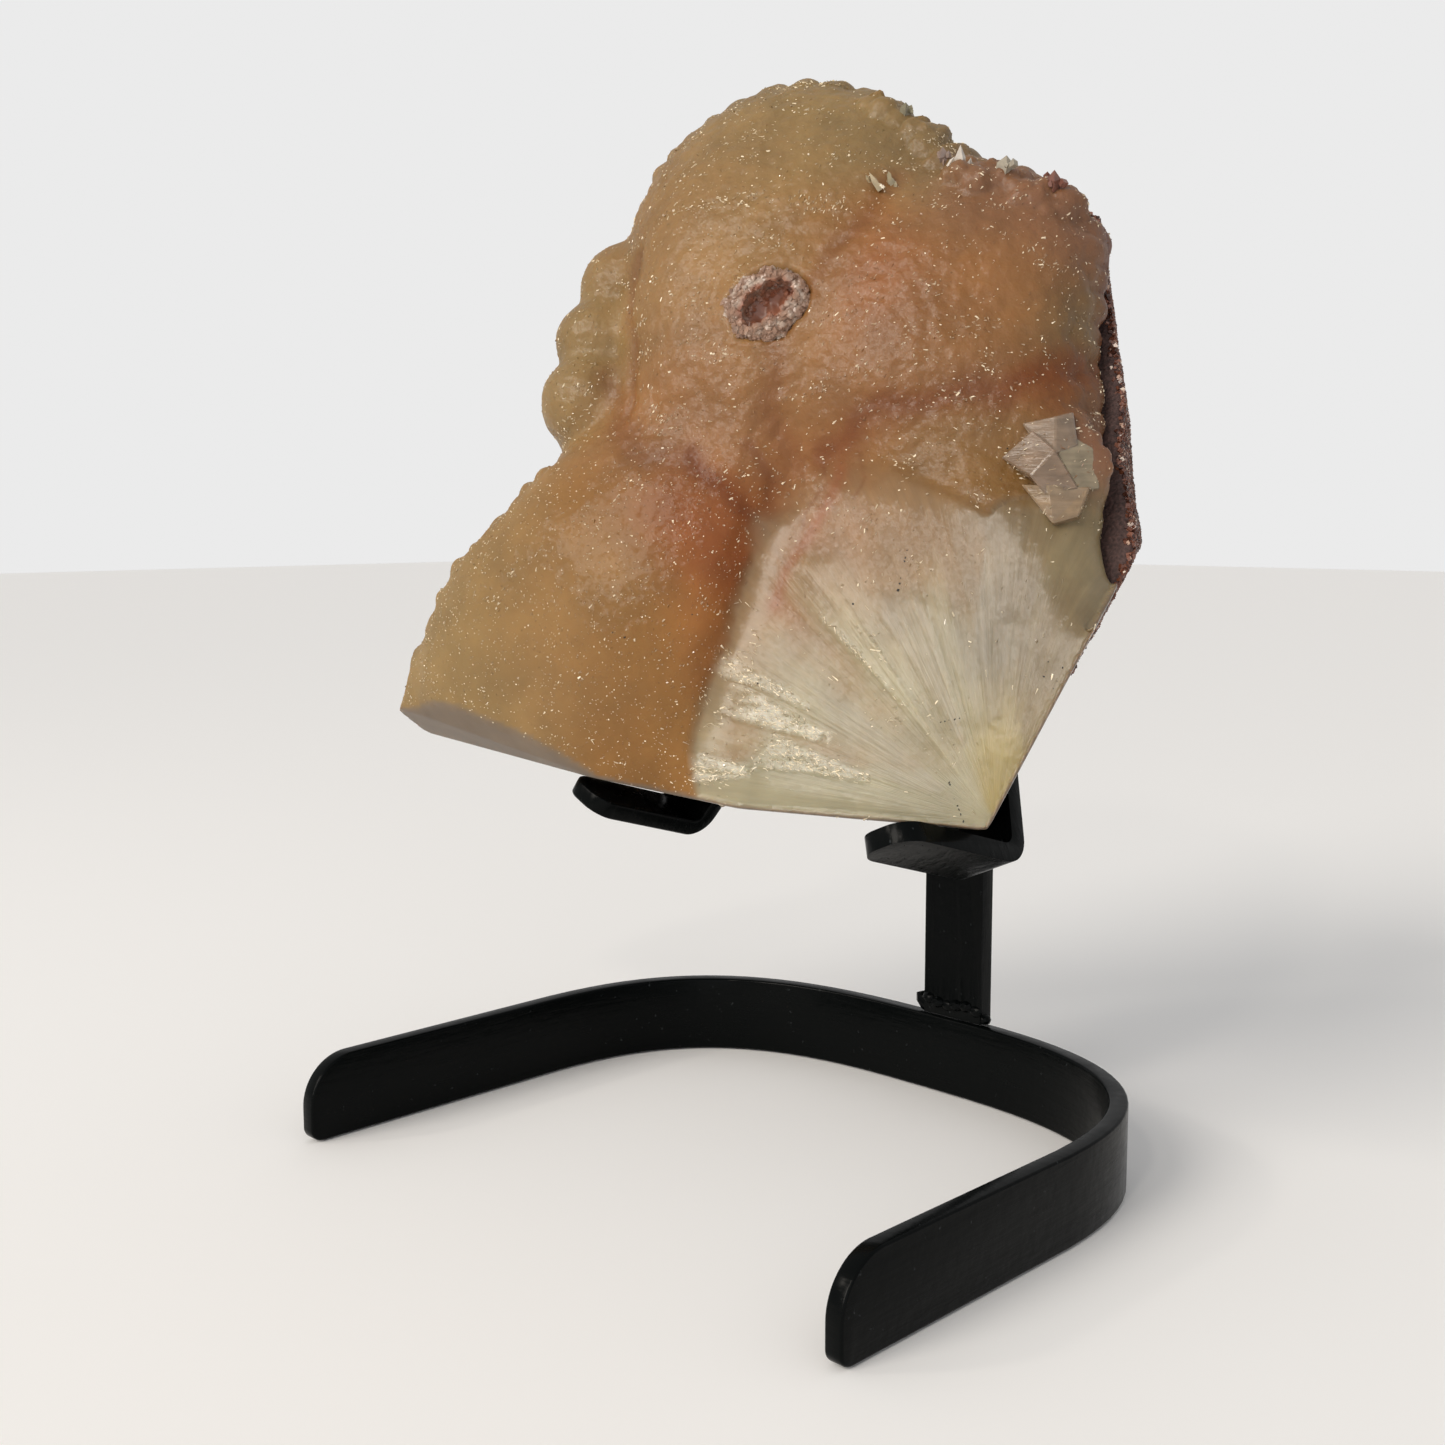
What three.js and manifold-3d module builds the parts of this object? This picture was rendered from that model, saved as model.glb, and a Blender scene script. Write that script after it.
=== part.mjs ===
// A stilbite cluster on a welded flat bar display stand, in millimetres, +Z up.
// The stand's hoop opens towards -Y. The cluster leans back on two hooked arms.
import * as THREE from 'three';
import { mergeVertices } from 'three/addons/utils/BufferGeometryUtils.js';
import Module from 'manifold-3d';

const wasm = await Module();
wasm.setup();

// Driving dimensions of the stand
const gap = 0.3; // clearance kept between separate pieces
const far = 200; // further than anything that is cut
const hoopBar = { height: 20, thickness: 4.2 };
const hoop = { halfWidth: 81.2, depth: 71.8, squareness: 2.9, nearLeg: 60, farLeg: 65 };
const legEnd = { topRadius: 12, footRadius: 3 };
const post = { x: 8, frontY: 70.4, width: 17.8, thickness: 4.5, top: 180 };
const weld = { beads: 6, inset: 1.5, height: 3.4, uneven: 0.5, radii: [2.1, 1.5, 1.6] };
const arm = { width: 14, thickness: 4.2, apexY: 70, apexZ: 173.4, top: 178, roll: 7 };
const hook = { halfSpan: 48.7, y: 22.2, z: 72.5, leftDrop: 1.4, droop: 7, length: 38.8, endRadius: 5.5 };
const hookBend = { outer: 7.2, inner: 3 };

// Driving dimensions of the cluster, in its own frame: across its face, out of its face, and up.
// The frame stands between the two hooks, turned a little and leaning back.
const cluster = { at: [8, 10, 80], turn: 20, lean: 14 };
const stone = { middle: [-12, 85], base: 20, behind: 54, rim: 2.4, share: 1, fineness: 18 };
const rock = { middle: [-12, 85], base: 30, behind: 56, rim: 2.4, share: 1.05, fineness: 11, thickness: 11 };
const rimFineness = 0.7; // how much closer together the surface's points are towards its rim
const rockRoughness = 1.4;
const cornerSwing = { share: 0.3, top: 110 }; // the lower right corner comes forward, onto its hook
// The outline of the cluster's face, across and up, clockwise from its top
const outline = [
  [-14, 178], [9, 171], [24, 158], [50, 147], [62, 132], [63, 109], [65.5, 88], [70.5, 66], [75, 48],
  [77, 28], [76, 4], [70, -20], [25, -24], [-4, -22], [-27, -18], [-54, -10], [-84, 2], [-108, 11], [-110, 24],
  [-104, 42], [-94, 57], [-80, 73], [-68, 82], [-58, 96], [-56, 125], [-55, 146], [-49, 161], [-35, 172],
];
// Swellings of the front: middle across and up, half width, half height, how far they stand out
const swellings = {
  upperLeft: { at: [-18, 126], half: [41, 50], rise: 12 },
  topMiddle: { at: [11, 145], half: [28, 30], rise: 9 },
  upperRight: { at: [36, 117], half: [44, 38], rise: 13 },
  rightShoulder: { at: [50, 72], half: [56, 40], rise: 6 },
  lowerRight: { at: [34, 16], half: [60, 56], rise: 15 },
  lowerLeft: { at: [-53, 44], half: [47, 56], rise: 13 },
};
const swellingSquareness = 2.3;
const swellingBlend = 0.9; // how softly one swelling runs into the next
const smallBalls = {
  bulge: { at: [-11, 11.4, 77], radii: [14.5, 17, 12.5] },
  topBubble: { at: [-55, 4, 127], radii: [13, 14, 12] },
  middleBubble: { at: [-58, 7, 112], radii: [13, 14, 11] },
  lowBubble: { at: [-58, 9, 96], radii: [14, 15, 13] },
};
// Flat faces: a point on each and the direction it faces, in the same frame
const faces = {
  cleaved: { at: [52.8, 27, -0.7], facing: [0.88, -0.267, -0.39] },
  under: { at: [52.8, 27, -0.6], facing: [-0.009, -0.054, -1] },
  leftUnder: { at: [-35, 30, 6], facing: [-0.26, 0.27, -0.93] },
  lowLeft: { at: [-51, 5, 5.9], facing: [-0.121, -0.002, -0.993] },
  lowMiddle: { at: [-51, 5, 5.9], facing: [-0.171, 0.026, -0.985] },
  rockSide: { at: [73.5, -5, 65.4], facing: [0.968, -0.147, 0.202] },
  back: { at: [50, 8.5, -9], facing: [0.323, -0.923, -0.212] },
};
// The broken face is hollowed out of the front between these three
const broken = {
  floor: { at: [20, 24, 40], facing: [-0.12, 1, 0.06] },
  top: { at: [17, 22, 74], facing: [-0.3, 0.72, -0.6] },
  left: { at: [-10, 21, 46], facing: [0.8, 0.58, -0.15] },
};
// The broken face's splinters spread from one corner of the fan
const fan = {
  apex: [55, 30.4, 1], count: 24, firstAngle: 4, lastAngle: 112,
  leftReach: 66, topReach: 46, longest: 90, widthShare: 0.075,
};
// A hollow lined with small crystals, and the crystals that stand out of the cluster
const pocket = { at: [-5.8, 30.6, 111.6], facing: [0.2, 0.97, -0.05], half: [13.5, 5.5, 11.5], sink: 3.6 };
const hollow = { half: [7, 5, 3.4], turn: 40, out: 3.2 };
const pocketCrystals = { count: 11, size: 2.8, ring: [7.2, 6] };
const blocks = [
  { at: [54, 25, 81], size: [11, 9, 13], turn: [12, 20, 28] },
  { at: [62, 21, 78], size: [9, 10, 10], turn: [-20, 34, -12] },
  { at: [57, 24, 73], size: [8, 8, 8], turn: [30, -18, 40] },
  { at: [51, 25, 74], size: [6, 7, 7], turn: [8, 42, 15] },
];
const rimCrystals = [
  { at: [12, 22, 142], size: 5, turn: [20, 30, 10] },
  { at: [20, 14, 157], size: 4.5, turn: [45, 10, 30] },
  { at: [32, 20, 144], size: 5.5, turn: [10, 50, 25] },
  { at: [42, 17, 142], size: 4.5, turn: [35, 25, 60] },
  { at: [53, 12, 139], size: 4, turn: [60, 15, 5] },
];

const degrees = Math.PI / 180;

// Turns a closed three.js geometry into a solid that can be joined and cut
function solidOf(geometry) {
  const bare = new THREE.BufferGeometry();
  bare.setAttribute('position', geometry.getAttribute('position'));
  bare.setIndex(geometry.getIndex());
  const merged = mergeVertices(bare, 1e-4);
  return new wasm.Manifold(new wasm.Mesh({
    numProp: 3,
    vertProperties: new Float32Array(merged.getAttribute('position').array),
    triVerts: new Uint32Array(merged.getIndex().array),
  }));
}

// Turns a solid back into a three.js geometry
function geometryOf(solid) {
  const mesh = solid.getMesh();
  const geometry = new THREE.BufferGeometry();
  geometry.setAttribute('position', new THREE.BufferAttribute(mesh.vertProperties, 3));
  geometry.setIndex(new THREE.BufferAttribute(mesh.triVerts, 1));
  geometry.computeVertexNormals();
  return geometry;
}

function joined(solids) {
  return solids.reduce((whole, piece) => whole.add(piece));
}

// A large block that lies wholly beyond a plane, for cutting a flat face
function blockBeyond(point, normal) {
  const block = new THREE.BoxGeometry(2 * far, 2 * far, 2 * far);
  block.translate(0, 0, far);
  const turn = new THREE.Quaternion().setFromUnitVectors(new THREE.Vector3(0, 0, 1), normal);
  block.applyQuaternion(turn);
  block.translate(point.x, point.y, point.z);
  return solidOf(block);
}

// The hoop: a flat bar on edge, bent to a squared U
function hoopCurve(angle) {
  const power = 2 / hoop.squareness;
  const across = Math.sign(Math.cos(angle)) * Math.abs(Math.cos(angle)) ** power;
  const back = Math.abs(Math.sin(angle)) ** power;
  return new THREE.Vector2(hoop.halfWidth * across, hoop.depth * back);
}

function hoopOutline(offset) {
  const steps = 44;
  const centres = [new THREE.Vector2(hoop.halfWidth, -hoop.nearLeg)];
  for (let step = 0; step <= steps; step += 1) {
    const spread = step / steps;
    centres.push(hoopCurve(Math.PI * spread));
  }
  centres.push(new THREE.Vector2(-hoop.halfWidth, -hoop.farLeg));
  return centres.map((centre, index) => {
    const before = centres[Math.max(index - 1, 0)];
    const after = centres[Math.min(index + 1, centres.length - 1)];
    const along = after.clone().sub(before).normalize();
    return new THREE.Vector2(centre.x + along.y * offset, centre.y - along.x * offset);
  });
}

// What is left of a leg's end once its top and foot corners are rounded, seen from the side
function legProfile(endY) {
  const top = hoopBar.height;
  const { topRadius, footRadius } = legEnd;
  const profile = new THREE.Shape();
  profile.moveTo(far, 0);
  profile.lineTo(far, top);
  profile.lineTo(endY + topRadius, top);
  profile.absarc(endY + topRadius, top - topRadius, topRadius, Math.PI / 2, Math.PI, false);
  profile.absarc(endY + footRadius, footRadius, footRadius, Math.PI, Math.PI * 1.5, false);
  profile.closePath();
  return profile;
}

function makeHoop() {
  const half = hoopBar.thickness / 2;
  const bend = new THREE.Shape([...hoopOutline(half), ...hoopOutline(-half).reverse()]);
  const bar = new THREE.ExtrudeGeometry(bend, {
    depth: hoopBar.height,
    bevelEnabled: false,
  });
  const sides = [hoop.nearLeg, hoop.farLeg].map((leg, side) => {
    const wall = new THREE.ExtrudeGeometry(legProfile(-leg), {
      depth: far,
      bevelEnabled: false,
      curveSegments: 8,
    });
    // the profile is drawn along Y and Z, and stretched across one half of the hoop
    const axes = new THREE.Matrix4().makeBasis(
      new THREE.Vector3(0, 1, 0),
      new THREE.Vector3(0, 0, 1),
      new THREE.Vector3(1, 0, 0),
    );
    wall.applyMatrix4(axes);
    wall.translate(side === 0 ? 0 : -far, 0, 0);
    return solidOf(wall);
  });
  return solidOf(bar).intersect(joined(sides));
}

// The two arms: each is a flat bar bent into a hook, and the pair meets as an inverted V
function armAxes(side) {
  const foot = new THREE.Vector3(
    post.x + side * hook.halfSpan,
    hook.y,
    hook.z - (side < 0 ? hook.leftDrop : 0),
  );
  const apex = new THREE.Vector3(post.x, arm.apexY, arm.apexZ);
  const up = apex.clone().sub(foot).normalize();
  const width = new THREE.Vector3(1, 0, 0).addScaledVector(up, -up.x).normalize();
  const front = new THREE.Vector3().crossVectors(width, up);
  const roll = new THREE.Quaternion().setFromAxisAngle(up, -side * arm.roll * degrees);
  front.applyQuaternion(roll);
  return { foot, up, front, across: new THREE.Vector3().crossVectors(front, up) };
}

// The bent bar seen from its edge: the arm runs up, the hook runs forward
function hookProfile(extra) {
  const tilt = -hook.droop * degrees;
  const thickness = arm.thickness + extra;
  const outer = hookBend.outer + extra;
  const inner = hookBend.inner - extra;
  const centre = new THREE.Vector2(hookBend.outer, hookBend.outer * (1 + Math.sin(tilt)) / Math.cos(tilt));
  const forward = new THREE.Vector2(Math.cos(tilt), Math.sin(tilt));
  const upward = new THREE.Vector2(-Math.sin(tilt), Math.cos(tilt));
  const reach = hook.length + extra;
  const under = forward.clone().multiplyScalar(reach).addScaledVector(upward, -extra);
  const over = forward.clone().multiplyScalar(reach).addScaledVector(upward, thickness);
  const armLength = 140;
  const profile = new THREE.Shape();
  profile.moveTo(-extra, armLength);
  profile.lineTo(-extra, centre.y);
  profile.absarc(centre.x, centre.y, outer, Math.PI, Math.PI * 1.5 + tilt, false);
  profile.lineTo(under.x, under.y);
  profile.lineTo(over.x, over.y);
  profile.absarc(centre.x, centre.y, inner, Math.PI * 1.5 + tilt, Math.PI, true);
  profile.lineTo(thickness, armLength);
  profile.closePath();
  return profile;
}

// What is cut away to round the hook's free end, seen from above the hook
function endCutter() {
  const half = arm.width / 2;
  const radius = hook.endRadius;
  const past = 12;
  const shape = new THREE.Shape();
  shape.moveTo(hook.length - radius, -past);
  shape.lineTo(hook.length - radius, -half);
  shape.absarc(hook.length - radius, radius - half, radius, -Math.PI / 2, 0, false);
  shape.absarc(hook.length - radius, half - radius, radius, 0, Math.PI / 2, false);
  shape.lineTo(hook.length - radius, past);
  shape.lineTo(hook.length + past, past);
  shape.lineTo(hook.length + past, -past);
  shape.closePath();
  const cutter = new THREE.ExtrudeGeometry(shape, { depth: 2 * past, bevelEnabled: false, curveSegments: 6 });
  cutter.translate(0, 0, -past);
  return cutter;
}

function makeArm(side, extra = 0) {
  const { foot, up, front, across } = armAxes(side);
  const width = arm.width + 2 * extra;
  const bar = new THREE.ExtrudeGeometry(hookProfile(extra), {
    depth: width,
    bevelEnabled: false,
    curveSegments: 6,
  });
  bar.translate(0, 0, -width / 2);
  const place = new THREE.Matrix4().makeBasis(front, up, across).setPosition(foot);
  bar.applyMatrix4(place);
  let solid = solidOf(bar);
  if (extra === 0) {
    const end = endCutter();
    // the cutter is drawn forward and across, so its third axis runs up through the hook
    end.rotateX(-Math.PI / 2);
    end.rotateZ(-hook.droop * degrees);
    end.applyMatrix4(place);
    solid = solid.subtract(solidOf(end));
  }
  const middle = new THREE.Vector3(post.x + side * (extra === 0 ? gap / 2 : -extra), 0, 0);
  solid = solid.subtract(blockBeyond(middle, new THREE.Vector3(-side, 0, 0)));
  // the pair is ground flat where it is welded to the post
  const back = new THREE.Vector3(0, post.frontY - gap + extra, 0);
  const top = new THREE.Vector3(0, 0, arm.top + extra);
  return solid
    .subtract(blockBeyond(back, new THREE.Vector3(0, 1, 0)))
    .subtract(blockBeyond(top, new THREE.Vector3(0, 0, 1)));
}

// One lump of weld: a squashed ball
function weldLump({ at, radii, turn = 0 }) {
  const ball = new THREE.SphereGeometry(1, 8, 5);
  ball.scale(...radii);
  ball.rotateY(turn * degrees);
  ball.translate(...at);
  return solidOf(ball);
}

function makePost() {
  const foot = hoopBar.height + gap;
  const height = post.top - foot;
  const bar = new THREE.BoxGeometry(post.width, post.thickness, height);
  bar.translate(post.x, post.frontY + post.thickness / 2, foot + height / 2);
  const left = post.x - post.width / 2;
  const right = post.x + post.width / 2;
  const lumps = [
    { at: [left - 0.3, post.frontY + 2, foot + 1.6], radii: [4.4, 1.9, 2.6], turn: 35 },
    { at: [right, post.frontY + 2, foot + 0.9], radii: [1.7, 1.8, 1.6] },
  ];
  const [first, last] = [left + weld.inset, right - weld.inset];
  for (let bead = 0; bead < weld.beads; bead += 1) {
    const x = first + (bead * (last - first)) / (weld.beads - 1);
    const swell = weld.radii[1] + weld.uneven * Math.sin(bead * 2.3);
    const z = foot + weld.height + weld.uneven * Math.cos(bead * 1.7);
    lumps.push({ at: [x, post.frontY + 0.2, z], radii: [weld.radii[0], swell, weld.radii[2]] });
  }
  const below = blockBeyond(new THREE.Vector3(0, 0, foot), new THREE.Vector3(0, 0, -1));
  return solidOf(bar).add(joined(lumps.map(weldLump))).subtract(below);
}

// A smooth small ball that grew out of the cluster
function makeSmallBall({ at, radii }) {
  const ball = new THREE.IcosahedronGeometry(1, 3);
  ball.scale(...radii);
  ball.translate(at[0], -at[1], at[2]);
  return placed(ball);
}

// From the cluster's own frame to the stand's
function clusterPlace() {
  const turn = new THREE.Matrix4().makeRotationZ(cluster.turn * degrees);
  const lean = new THREE.Matrix4().makeRotationX(-cluster.lean * degrees);
  return new THREE.Matrix4().setPosition(...cluster.at).multiply(turn).multiply(lean);
}

function placed(geometry) {
  return solidOf(geometry.applyMatrix4(clusterPlace()));
}

// Across, out and up, as a three.js vector: out of the cluster's face is -Y
function local([across, out, up]) {
  return new THREE.Vector3(across, -out, up);
}

function cutFace(face, forward = 0) {
  const facing = local(face.facing).normalize();
  const point = local(face.at).addScaledVector(facing, -forward);
  return blockBeyond(point.applyMatrix4(clusterPlace()), facing.transformDirection(clusterPlace()));
}

// How far the face's outline lies from its middle, in each direction
function outlineReach([middleA, middleU]) {
  const points = outline.map(([a, u]) => new THREE.Vector3(a - middleA, u - middleU, 0));
  const curve = new THREE.CatmullRomCurve3(points, true, 'centripetal');
  const samples = curve.getPoints(600).map((point) => ({
    angle: Math.atan2(point.y, point.x),
    reach: Math.hypot(point.x, point.y),
  }));
  samples.sort((one, other) => one.angle - other.angle);
  return (angle) => {
    const after = samples.findIndex((sample) => sample.angle >= angle);
    const next = samples[Math.max(after, 0)];
    const previous = samples[after > 0 ? after - 1 : samples.length - 1];
    return (next.reach + previous.reach) / 2;
  };
}

// How far the front swells out at a place on the face
function swellAt(across, up) {
  const sum = Object.values(swellings).reduce((total, swelling) => {
    const side = Math.abs(across - swelling.at[0]) / swelling.half[0];
    const height = Math.abs(up - swelling.at[1]) / swelling.half[1];
    const away = side ** swellingSquareness + height ** swellingSquareness;
    const rise = away < 1 ? swelling.rise * Math.sqrt(1 - away) : 0;
    return total + Math.exp(rise / swellingBlend);
  }, 0);
  return swellingBlend * Math.log(sum);
}

// A pillow with the face's outline, whose lower right corner swings forward
function makePillow(pillow, swell) {
  const ball = new THREE.IcosahedronGeometry(1, pillow.fineness);
  const position = ball.getAttribute('position');
  const reach = outlineReach(pillow.middle);
  const point = new THREE.Vector3();
  for (let index = 0; index < position.count; index += 1) {
    point.fromBufferAttribute(position, index).normalize();
    const flat = Math.min(1, Math.hypot(point.x, point.z));
    const angle = Math.atan2(point.z, point.x);
    // the ball's surface is spread over the face, a little finer towards the rim
    const even = (2 * Math.asin(flat)) / Math.PI;
    const spread = even * (1 + rimFineness * (1 - even));
    const outward = pillow.share * reach(angle) * spread;
    const across = pillow.middle[0] + outward * Math.cos(angle);
    const up = pillow.middle[1] + outward * Math.sin(angle);
    const depth = (1 - spread ** pillow.rim) ** (1 / pillow.rim);
    const height = point.y < 0 ? -depth * (pillow.base + swell(across, up)) : depth * pillow.behind;
    const swing = cornerSwing.share * Math.max(0, across) * Math.max(0, 1 - up / cornerSwing.top);
    position.setXYZ(index, across, height - swing, up);
  }
  return ball;
}

// One splinter of the broken face: a long thin wedge with a ridge, narrow towards the fan's corner
function makeSplinter(angle, start, length, width, proud) {
  const facing = local(broken.floor.facing).normalize();
  const along = new THREE.Vector3(-Math.cos(angle), 0, Math.sin(angle));
  along.addScaledVector(facing, -along.dot(facing)).normalize();
  const side = new THREE.Vector3().crossVectors(along, facing);
  const wedge = new THREE.CylinderGeometry(1, start / (start + length), length, 4, 1);
  wedge.scale(width / 2, 1, proud);
  const middle = local(fan.apex).addScaledVector(along, start + length / 2);
  wedge.applyMatrix4(new THREE.Matrix4().makeBasis(side, along, facing).setPosition(middle));
  return placed(wedge);
}

// How far the broken face runs from its corner in one direction
function fanReach(angle) {
  const [across, , up] = broken.top.facing;
  const upward = (across * Math.cos(angle) - up * Math.sin(angle)) / Math.hypot(across, up);
  const leftward = Math.cos(angle);
  const toLeft = leftward > 0.1 ? fan.leftReach / leftward : fan.longest;
  const toTop = upward > 0.1 ? fan.topReach / upward : fan.longest;
  return Math.min(toLeft, toTop, fan.longest);
}

function makeSplinters() {
  const splinters = [];
  for (let index = 0; index < fan.count; index += 1) {
    const share = index / (fan.count - 1);
    const jitter = Math.sin(index * 12.9);
    const other = Math.sin(index * 7.7 + 1);
    const spread = fan.firstAngle + (fan.lastAngle - fan.firstAngle) * share + 1.4 * jitter;
    const reach = fanReach(spread * degrees);
    const start = reach * (0.2 + 0.12 * other);
    const length = (reach - start) * (0.76 + 0.2 * jitter);
    const width = (start + length) * fan.widthShare * (1.25 + 0.5 * other);
    splinters.push(makeSplinter(spread * degrees, start, length, width, 1.2 + 0.6 * other));
  }
  return joined(splinters);
}

// The pocket's own directions: across it, along it and out of it
function pocketPlace(out) {
  const facing = local(pocket.facing).normalize();
  const upward = new THREE.Vector3(0, 0, 1).addScaledVector(facing, -facing.z).normalize();
  const across = new THREE.Vector3().crossVectors(facing, upward);
  const middle = local(pocket.at).addScaledVector(facing, out);
  return new THREE.Matrix4().makeBasis(across, facing, upward).setPosition(middle);
}

function makePocketBall(extra) {
  const ball = new THREE.IcosahedronGeometry(1, 2);
  ball.scale(pocket.half[0] + extra, pocket.half[1] + extra, pocket.half[2] + extra);
  return placed(ball.applyMatrix4(pocketPlace(-pocket.sink)));
}

function makePocketCrust() {
  const opening = new THREE.IcosahedronGeometry(1, 2);
  opening.scale(...hollow.half);
  opening.rotateY(hollow.turn * degrees);
  const crystals = [];
  for (let index = 0; index < pocketCrystals.count; index += 1) {
    const angle = (2 * Math.PI * index) / pocketCrystals.count;
    const size = pocketCrystals.size * (1 + 0.25 * Math.sin(index * 5.3));
    const crystal = new THREE.BoxGeometry(size, size, size);
    crystal.rotateX(index * 1.3);
    crystal.rotateZ(index * 2.1);
    const [across, along] = pocketCrystals.ring;
    crystal.translate(across * Math.cos(angle), pocket.sink - 0.6, along * Math.sin(angle));
    crystals.push(placed(crystal.applyMatrix4(pocketPlace(-pocket.sink))));
  }
  return makePocketBall(0)
    .add(joined(crystals))
    .subtract(placed(opening.applyMatrix4(pocketPlace(hollow.out - pocket.sink))));
}

// The room that the crust needs: its own ball and the way out to the open
function makePocketRoom() {
  const [across, along] = pocketCrystals.ring;
  const way = new THREE.CylinderGeometry(1, 1, 16, 24);
  way.scale(across + pocketCrystals.size, 1, along + pocketCrystals.size);
  way.translate(0, 8, 0);
  return makePocketBall(gap).add(placed(way.applyMatrix4(pocketPlace(-pocket.sink))));
}

// A block-shaped crystal, turned about its own three axes
function makeBlock({ at, size, turn }, extra = 0) {
  const [width, depth, height] = typeof size === 'number' ? [size, size, size] : size;
  const block = new THREE.BoxGeometry(width + 2 * extra, depth + 2 * extra, height + 2 * extra);
  block.rotateX(turn[0] * degrees);
  block.rotateY(turn[1] * degrees);
  block.rotateZ(turn[2] * degrees);
  block.translate(at[0], -at[1], at[2]);
  return placed(block);
}

// Everything that the cluster's broken and cut sides take away
function trimmed(solid) {
  return solid
    .subtract(cutFace(faces.cleaved))
    .subtract(cutFace(faces.leftUnder))
    .subtract(cutFace(faces.lowLeft))
    .subtract(cutFace(faces.lowMiddle))
    .subtract(cutFace(faces.under));
}

function makeMass(armsKeepOut) {
  const grown = placed(makePillow(stone, swellAt));
  const taken = cutFace(broken.floor).intersect(cutFace(broken.top)).intersect(cutFace(broken.left));
  const balls = joined(Object.values(smallBalls).map(makeSmallBall));
  const crystals = joined(rimCrystals.map((crystal) => makeBlock(crystal)));
  return trimmed(joined([grown.subtract(taken), balls, crystals, makeSplinters()]))
    .subtract(cutFace(faces.back, rock.thickness + gap))
    .subtract(makePocketRoom())
    .subtract(joined(blocks.map((block) => makeBlock(block, gap))))
    .subtract(armsKeepOut);
}

// The rock that the crystals grew on: a rough plate across the back of the cluster
function makeRock(armsKeepOut) {
  const plate = makePillow(rock, () => 0);
  const position = plate.getAttribute('position');
  const point = new THREE.Vector3();
  for (let index = 0; index < position.count; index += 1) {
    point.fromBufferAttribute(position, index);
    const rough = Math.sin(0.9 * point.x + 1.3 * point.z) * Math.sin(0.7 * point.y - 1.1 * point.x);
    const finer = Math.sin(2.3 * point.z + 1.9 * point.y);
    point.multiplyScalar(1 + (rockRoughness * (rough + 0.6 * finer)) / point.length());
    position.setXYZ(index, point.x, point.y, point.z);
  }
  const front = local(faces.back.facing).normalize().negate();
  const edge = local(faces.back.at).addScaledVector(front, rock.thickness);
  const ahead = blockBeyond(edge.applyMatrix4(clusterPlace()), front.transformDirection(clusterPlace()));
  return trimmed(placed(plate))
    .subtract(ahead)
    .subtract(cutFace(faces.rockSide))
    .subtract(cutFace(faces.back))
    .subtract(armsKeepOut);
}

const colors = {
  paint: 0x101416,
  stilbite: 0xb8946a,
  crust: 0xe0d8d8,
  clear: 0xe8dcd8,
  rock: 0x3a2326,
};

function meshOf(name, solid, color, roughness, metalness = 0) {
  const material = new THREE.MeshStandardMaterial({ color, roughness, metalness });
  const mesh = new THREE.Mesh(geometryOf(solid), material);
  mesh.name = name;
  return mesh;
}

const armsKeepOut = makeArm(1, gap).add(makeArm(-1, gap));
const part = new THREE.Group();
part.add(meshOf('base_hoop', makeHoop(), colors.paint, 0.3, 0));
part.add(meshOf('post', makePost(), colors.paint, 0.3, 0));
part.add(meshOf('right_arm_hook', makeArm(1), colors.paint, 0.3, 0));
part.add(meshOf('left_arm_hook', makeArm(-1), colors.paint, 0.3, 0));
part.add(meshOf('stilbite_mass', makeMass(armsKeepOut), colors.stilbite, 0.4, 0));
part.add(meshOf('pocket_crust', makePocketCrust(), colors.crust, 0.4, 0));
part.add(meshOf('blocky_crystals', joined(blocks.map((block) => makeBlock(block))), colors.clear, 0.2, 0));
part.add(meshOf('matrix_rock', makeRock(armsKeepOut), colors.rock, 0.8, 0));

// The part's origin is under the middle of its box, on the surface that it stands on
const bounds = new THREE.Box3().setFromObject(part);
const middle = bounds.getCenter(new THREE.Vector3());
part.position.set(-middle.x, -middle.y, -bounds.min.z);

export default part;
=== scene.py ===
import math

import bmesh
import bpy
import numpy as np
from mathutils import Matrix, Vector, noise
from mathutils.bvhtree import BVHTree


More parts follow.
